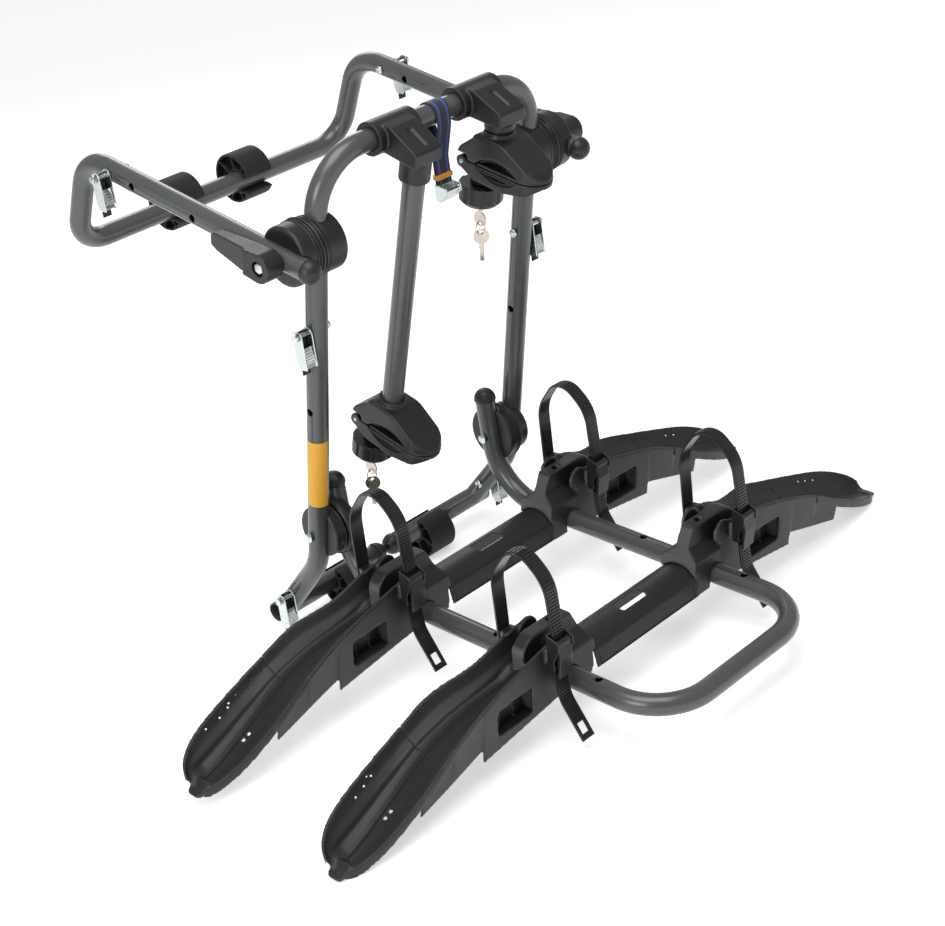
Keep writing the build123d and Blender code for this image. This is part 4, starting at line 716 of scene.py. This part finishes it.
for tray, tray_frame in tray_axes.items():
    whole = bmesh.new()
    for side in (-1, 1):
        corners = [
            (x, -side * w, h)
            for x, (w, h) in (
                (-frame_half_length, skirt_top),
                (frame_half_length, skirt_top),
                (frame_half_length, skirt_low),
                (-frame_half_length, skirt_low),
            )
        ]
        join(whole, bead(corners, frame_half, closed=True), tray_frame)
    make_piece(whole, f"{tray}_beam_frames", tray_plastic, "platform")
print("frames on", len(tray_axes), "beams")

# %% [markdown]
# Each cam buckle has a ribbed thumb plate that presses the strap, and a short band of black webbing under
# it. The plate is a flat bar with ridges across it, and the webbing is another flat bar. Places are Y and Z
# from the bolt that the buckle hangs on.

# %% Thumb plates and webbing of the cam buckles
plate_size = (14.5, 1.6, 21.0)
plate_place = (-6.2, -27.0)
plate_lean = math.radians(14)
ridge_size = (13.5, 1.3, 1.6)
ridge_out = 1.0
ridge_heights = (-9.0, -5.5, -2.0, 1.5, 5.0)
band_size = (14.0, 1.4, 58.0)
band_place = (4.4, -27.0)


def bar(size, matrix, rounding):
    """A rounded bar of a size in millimetres."""
    bm = bmesh.new()
    lengths = [length * mm for length in size]
    bmesh.ops.create_cube(bm, size=1, matrix=Matrix.Diagonal((*lengths, 1)))
    bmesh.ops.bevel(
        bm,
        geom=bm.edges[:],
        offset=rounding * mm,
        affect="EDGES",
        segments=2,
        profile=0.5,
        material=-1,
    )
    bmesh.ops.transform(bm, matrix=matrix, verts=bm.verts)
    return bm


def shift(x, y, z):
    """Move by millimetres."""
    return Matrix.Translation(Vector((x, y, z)) * mm)


for place_name in ("upright", "arm", "foot"):
    for side in ("left", "right"):
        node = f"{place_name}_buckle_{side}"
        low, high = (Vector(corner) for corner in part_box(node))
        hinge = pivot(f"{node}_swing")
        middle_x = (low.x + high.x) / 2
        buckle_frame = Matrix.Translation((middle_x, hinge.y, hinge.z))
        plate_frame = buckle_frame @ shift(0, *plate_place) @ Matrix.Rotation(-plate_lean, 4, "X")
        plate = bar(plate_size, plate_frame, 0.5)
        for height in ridge_heights:
            join(plate, bar(ridge_size, plate_frame @ shift(0, -ridge_out, height), 0.4))
        make_piece(plate, f"{node}_thumb_plate", zinc, node)
        band = bar(band_size, buckle_frame @ shift(0, *band_place), 0.4)
        make_piece(band, f"{node}_webbing", black_webbing, node)
print("six buckles dressed")

# %% [markdown]
# The front skirt of each scoop has a ribbed pocket that is open to the front. Its floor is a thin wall from
# the ribs to the skirt, and one rounded bar makes it.

# %% Floors of the pockets
pocket_floor_size = (76.0, 19.0, 2.4)
pocket_floor_place = (266.0, -18.0, -14.5)

for tray, tray_frame in tray_axes.items():
    for side, flip in (("left", -1), ("right", 1)):
        out, across, up = pocket_floor_place
        plate = bar(pocket_floor_size, tray_frame @ shift(flip * out, across, up), 0.3)
        make_piece(plate, f"{tray}_pocket_floor_{side}", tray_plastic, "platform")
print("pocket floors on", 2 * len(tray_axes), "scoops")

# %% [markdown]
# The wheel straps have a row of small teeth that the ratchet grips. On the real strap they are moulded
# across its outer face every few millimetres. The strap's route is worked out again from its corner
# points, and one short bar is repeated along it, which is light and follows every bend.

# %% Teeth of the wheel straps
strap_loop = ((-48.6, 46.0), (-53.5, 150.0), (-12.0, 210.0), (38.0, 168.0), (46.5, 96.0))
strap_tail = ((46.5, 44.0), (52.0, 0.0), (88.0, -50.0))
strap_corners = strap_loop + strap_tail
strap_bends = (60.0, 30.0, 55.0, 40.0, 30.0, 40.0)
arc_steps = 12
strap_x = 195.0
strap_half_thickness = 1.3
tooth_pitch = 4.6
tooth_size = (17.0, 2.3, 2.4)
teeth_from = 60.0
teeth_stop = 26.0


def rounded_route(corners, radii, step):
    """Places and directions, one step apart, along straight runs joined by tangent arcs."""
    points = [Vector(corner) for corner in corners]
    dense = [points[0]]
    for before, corner, after, radius in zip(points, points[1:], points[2:], radii):
        incoming = (corner - before).normalized()
        outgoing = (after - corner).normalized()
        turn = incoming.angle_signed(outgoing)
        cut = radius * math.tan(abs(turn) / 2)
        start = corner - incoming * cut
        side = Vector((incoming.y, -incoming.x)) * math.copysign(1, turn)
        centre = start + side * radius
        for part in range(arc_steps + 1):
            angle = -turn * part / arc_steps
            dense.append(centre + Matrix.Rotation(angle, 2) @ (start - centre))
    dense.append(points[-1])
    spots = []
    left_over = 0.0
    for near, far in zip(dense, dense[1:]):
        run = (far - near).length
        if run == 0:
            continue
        along = left_over
        while along < run:
            spots.append((near.lerp(far, along / run), (far - near) / run))
            along += step
        left_over = along - run
    return spots


spots = rounded_route(strap_corners, strap_bends, tooth_pitch)
teeth = bmesh.new()
skip_first = int(teeth_from / tooth_pitch)
skip_last = int(teeth_stop / tooth_pitch)
for spot, direction in spots[skip_first:-skip_last]:
    outward = Vector((-direction.y, direction.x))
    middle = spot + outward * strap_half_thickness
    turn = Matrix.Rotation(math.pi - math.atan2(direction.y, direction.x), 4, "X")
    place = shift(strap_x, -middle.x, middle.y) @ turn
    lengths = [length * mm for length in tooth_size]
    bmesh.ops.create_cube(teeth, size=1, matrix=place @ Matrix.Diagonal((*lengths, 1)))
tooth_count = len(teeth.faces) // 6
for tray, tray_frame in tray_axes.items():
    for side, flip in (("right", 1), ("left", -1)):
        bm = teeth.copy()
        bmesh.ops.transform(bm, matrix=tray_frame @ Matrix.Diagonal((flip, 1, 1, 1)), verts=bm.verts)
        bmesh.ops.recalc_face_normals(bm, faces=bm.faces)
        make_piece(bm, f"{tray}_strap_teeth_{side}", strap_plastic, "platform")
teeth.free()
print(tooth_count, "teeth on each strap")

# %% [markdown]
# A second key hangs from each lock key on a split ring. The ring is a circle of wire spun round its centre.
# The spare key is the bow of the lock key's own shape, cut free with a plane, with a new blade. It is
# turned over and hung from the ring.

# %% Key rings and spare keys
knob_axis_y = 28.0
key_bow_low = -106.5
key_hole_up = 5.0
spare_cut = -77.0
blade_size = (1.8, 6.4, 27.0)
blade_middle = -72.5
ring_r = 9.0
ring_wire_r = 0.8
ring_bite = 2.0
# Radians
spare_lean = 0.12
spare_twist = -0.8


def ring(radius, wire_r, matrix):
    """A closed ring of round wire, in the XZ plane of the matrix."""
    bm = bmesh.new()
    wire_place = Matrix.Translation((radius, 0, 0))
    bmesh.ops.create_circle(bm, segments=10, radius=wire_r, matrix=wire_place)
    bmesh.ops.spin(
        bm,
        geom=bm.verts[:] + bm.edges[:],
        cent=(0, 0, 0),
        axis=(0, 1, 0),
        angle=2 * math.pi,
        steps=40,
        use_merge=True,
    )
    bmesh.ops.transform(bm, matrix=matrix, verts=bm.verts)
    bmesh.ops.remove_doubles(bm, verts=bm.verts, dist=merge_distance)
    bmesh.ops.recalc_face_normals(bm, faces=bm.faces)
    return bm


for arm, jaw_frame in mouth_axes.items():
    hole_height = key_bow_low + key_hole_up
    hole = jaw_frame @ (Vector((0, knob_axis_y, hole_height)) * mm)
    drop = Vector((0, 0, ring_bite - ring_r)) * mm
    middle = hole + drop
    make_piece(
        ring(ring_r * mm, ring_wire_r * mm, Matrix.Translation(middle)),
        f"{arm}_key_ring",
        nickel,
        f"{arm}_key",
    )
    spare = copy_of(f"{arm}_key")
    bmesh.ops.transform(spare, matrix=jaw_frame.inverted(), verts=spare.verts)
    geometry = spare.verts[:] + spare.edges[:] + spare.faces[:]
    cut = (0, 0, spare_cut * mm)
    bmesh.ops.bisect_plane(
        spare, geom=geometry, plane_co=cut, plane_no=(0, 0, 1), clear_outer=True
    )
    bmesh.ops.holes_fill(spare, edges=[edge for edge in spare.edges if edge.is_boundary])
    join(spare, bar(blade_size, shift(0, knob_axis_y, blade_middle), 0.5))
    to_hole = shift(0, -knob_axis_y, -hole_height)
    hang = Matrix.Translation(middle + drop)
    tilt = Matrix.Rotation(math.pi + spare_lean, 4, "X") @ Matrix.Rotation(spare_twist, 4, "Z")
    bmesh.ops.transform(spare, matrix=hang @ tilt @ to_hole, verts=spare.verts)
    bmesh.ops.recalc_face_normals(spare, faces=spare.faces)
    make_piece(spare, f"{arm}_spare_key", nickel, f"{arm}_key")
print("two key rings with spare keys")

# %% [markdown]
# The carrier stands in a plain studio on pale paper. A little light is added to the paper where the camera
# or a reflection sees it, which makes it almost white, while it still takes the carrier's soft shadow.

# %% Floor
floor_half = 9.0
floor_lift = 0.5
fibre_size = 2.5 * mm
fibre_height = 0.1 * mm

bm = bmesh.new()
bmesh.ops.create_grid(bm, x_segments=1, y_segments=1, size=floor_half)
floor_mesh = bpy.data.meshes.new("studio_floor")
bm.to_mesh(floor_mesh)
bm.free()
floor = bpy.data.objects.new("studio_floor", floor_mesh)
scene.collection.objects.link(floor)

paper, tree, shader, place = start_material("white_studio_paper")
fibre = add_node(tree, "ShaderNodeTexNoise", {"Vector": place, "Scale": 1 / fibre_size})
bump = add_node(
    tree, "ShaderNodeBump", {"Height": fibre.outputs["Fac"], "Strength": 0.05, "Distance": fibre_height}
)
tree.links.new(bump.outputs["Normal"], shader.inputs["Normal"])
shader.inputs["Base Color"].default_value = linear("#f4f4f4")
shader.inputs["Roughness"].default_value = 0.9
shader.inputs["Specular IOR Level"].default_value = 0.1
ray = add_node(tree, "ShaderNodeLightPath")
camera_ray, glossy_ray, through_ray = (
    ray.outputs[f"Is {kind} Ray"] for kind in ("Camera", "Glossy", "Transmission")
)
seen = add_node(tree, "ShaderNodeMath", {0: camera_ray, 1: glossy_ray}, operation="MAXIMUM")
seen = add_node(tree, "ShaderNodeMath", {0: seen.outputs[0], 1: through_ray}, operation="MAXIMUM")
lift = add_node(tree, "ShaderNodeMath", {0: seen.outputs[0], 1: floor_lift}, operation="MULTIPLY")
glow = add_node(tree, "ShaderNodeEmission", {"Strength": lift.outputs[0]})
both = add_node(tree, "ShaderNodeAddShader", {0: shader.outputs["BSDF"], 1: glow.outputs["Emission"]})
tree.links.new(both.outputs["Shader"], tree.nodes["Material Output"].inputs["Surface"])
floor_mesh.materials.append(paper)
print("floor", 2 * floor_half, "m wide")

# %% [markdown]
# The world is plain white to the camera, as the photograph's background is. It lights the carrier softly
# from all sides at under half that strength, and reflections see it as dim as that, which keeps the black
# plastics black.

# %% World
world_light = 0.45

world = bpy.data.worlds.new("studio")
scene.world = world
world.use_nodes = True
tree = world.node_tree
ray = add_node(tree, "ShaderNodeLightPath")
camera_ray, through_ray = (ray.outputs[f"Is {kind} Ray"] for kind in ("Camera", "Transmission"))
seen = add_node(tree, "ShaderNodeMath", {0: camera_ray, 1: through_ray}, operation="MAXIMUM")
strength = add_node(
    tree, "ShaderNodeMapRange", {"Value": seen.outputs[0], "To Min": world_light, "To Max": 1.0}
)
background = tree.nodes["Background"]
background.inputs["Color"].default_value = (1, 1, 1, 1)
tree.links.new(strength.outputs["Result"], background.inputs["Strength"])
print("world light:", world_light)

# %% [markdown]
# Three large soft lamps add the shapes' shading: a strong one above, one from the left and a weak one
# from behind. With the world they add up to a plain level, at which paint and plastic show about their own
# colour.

# %% Lamps


def lamp(name, place, target, size, power):
    """A square soft light that points at a target."""
    data = bpy.data.lights.new(name, "AREA")
    data.size = size
    data.energy = power
    light = bpy.data.objects.new(name, data)
    scene.collection.objects.link(light)
    aim = (Vector(target) - Vector(place)).to_track_quat("-Z", "Y")
    light.matrix_world = Matrix.Translation(place) @ aim.to_matrix().to_4x4()


lamp("light_above", (-0.6, -0.5, 2.6), (0, 0, 0.3), 1.8, 36)
lamp("light_left", (-2.6, -0.6, 1.3), (0, 0, 0.4), 1.2, 24)
lamp("light_behind", (1.6, 2.2, 1.8), (0, 0, 0.4), 1.2, 14)
print(len(bpy.data.lights), "lamps")
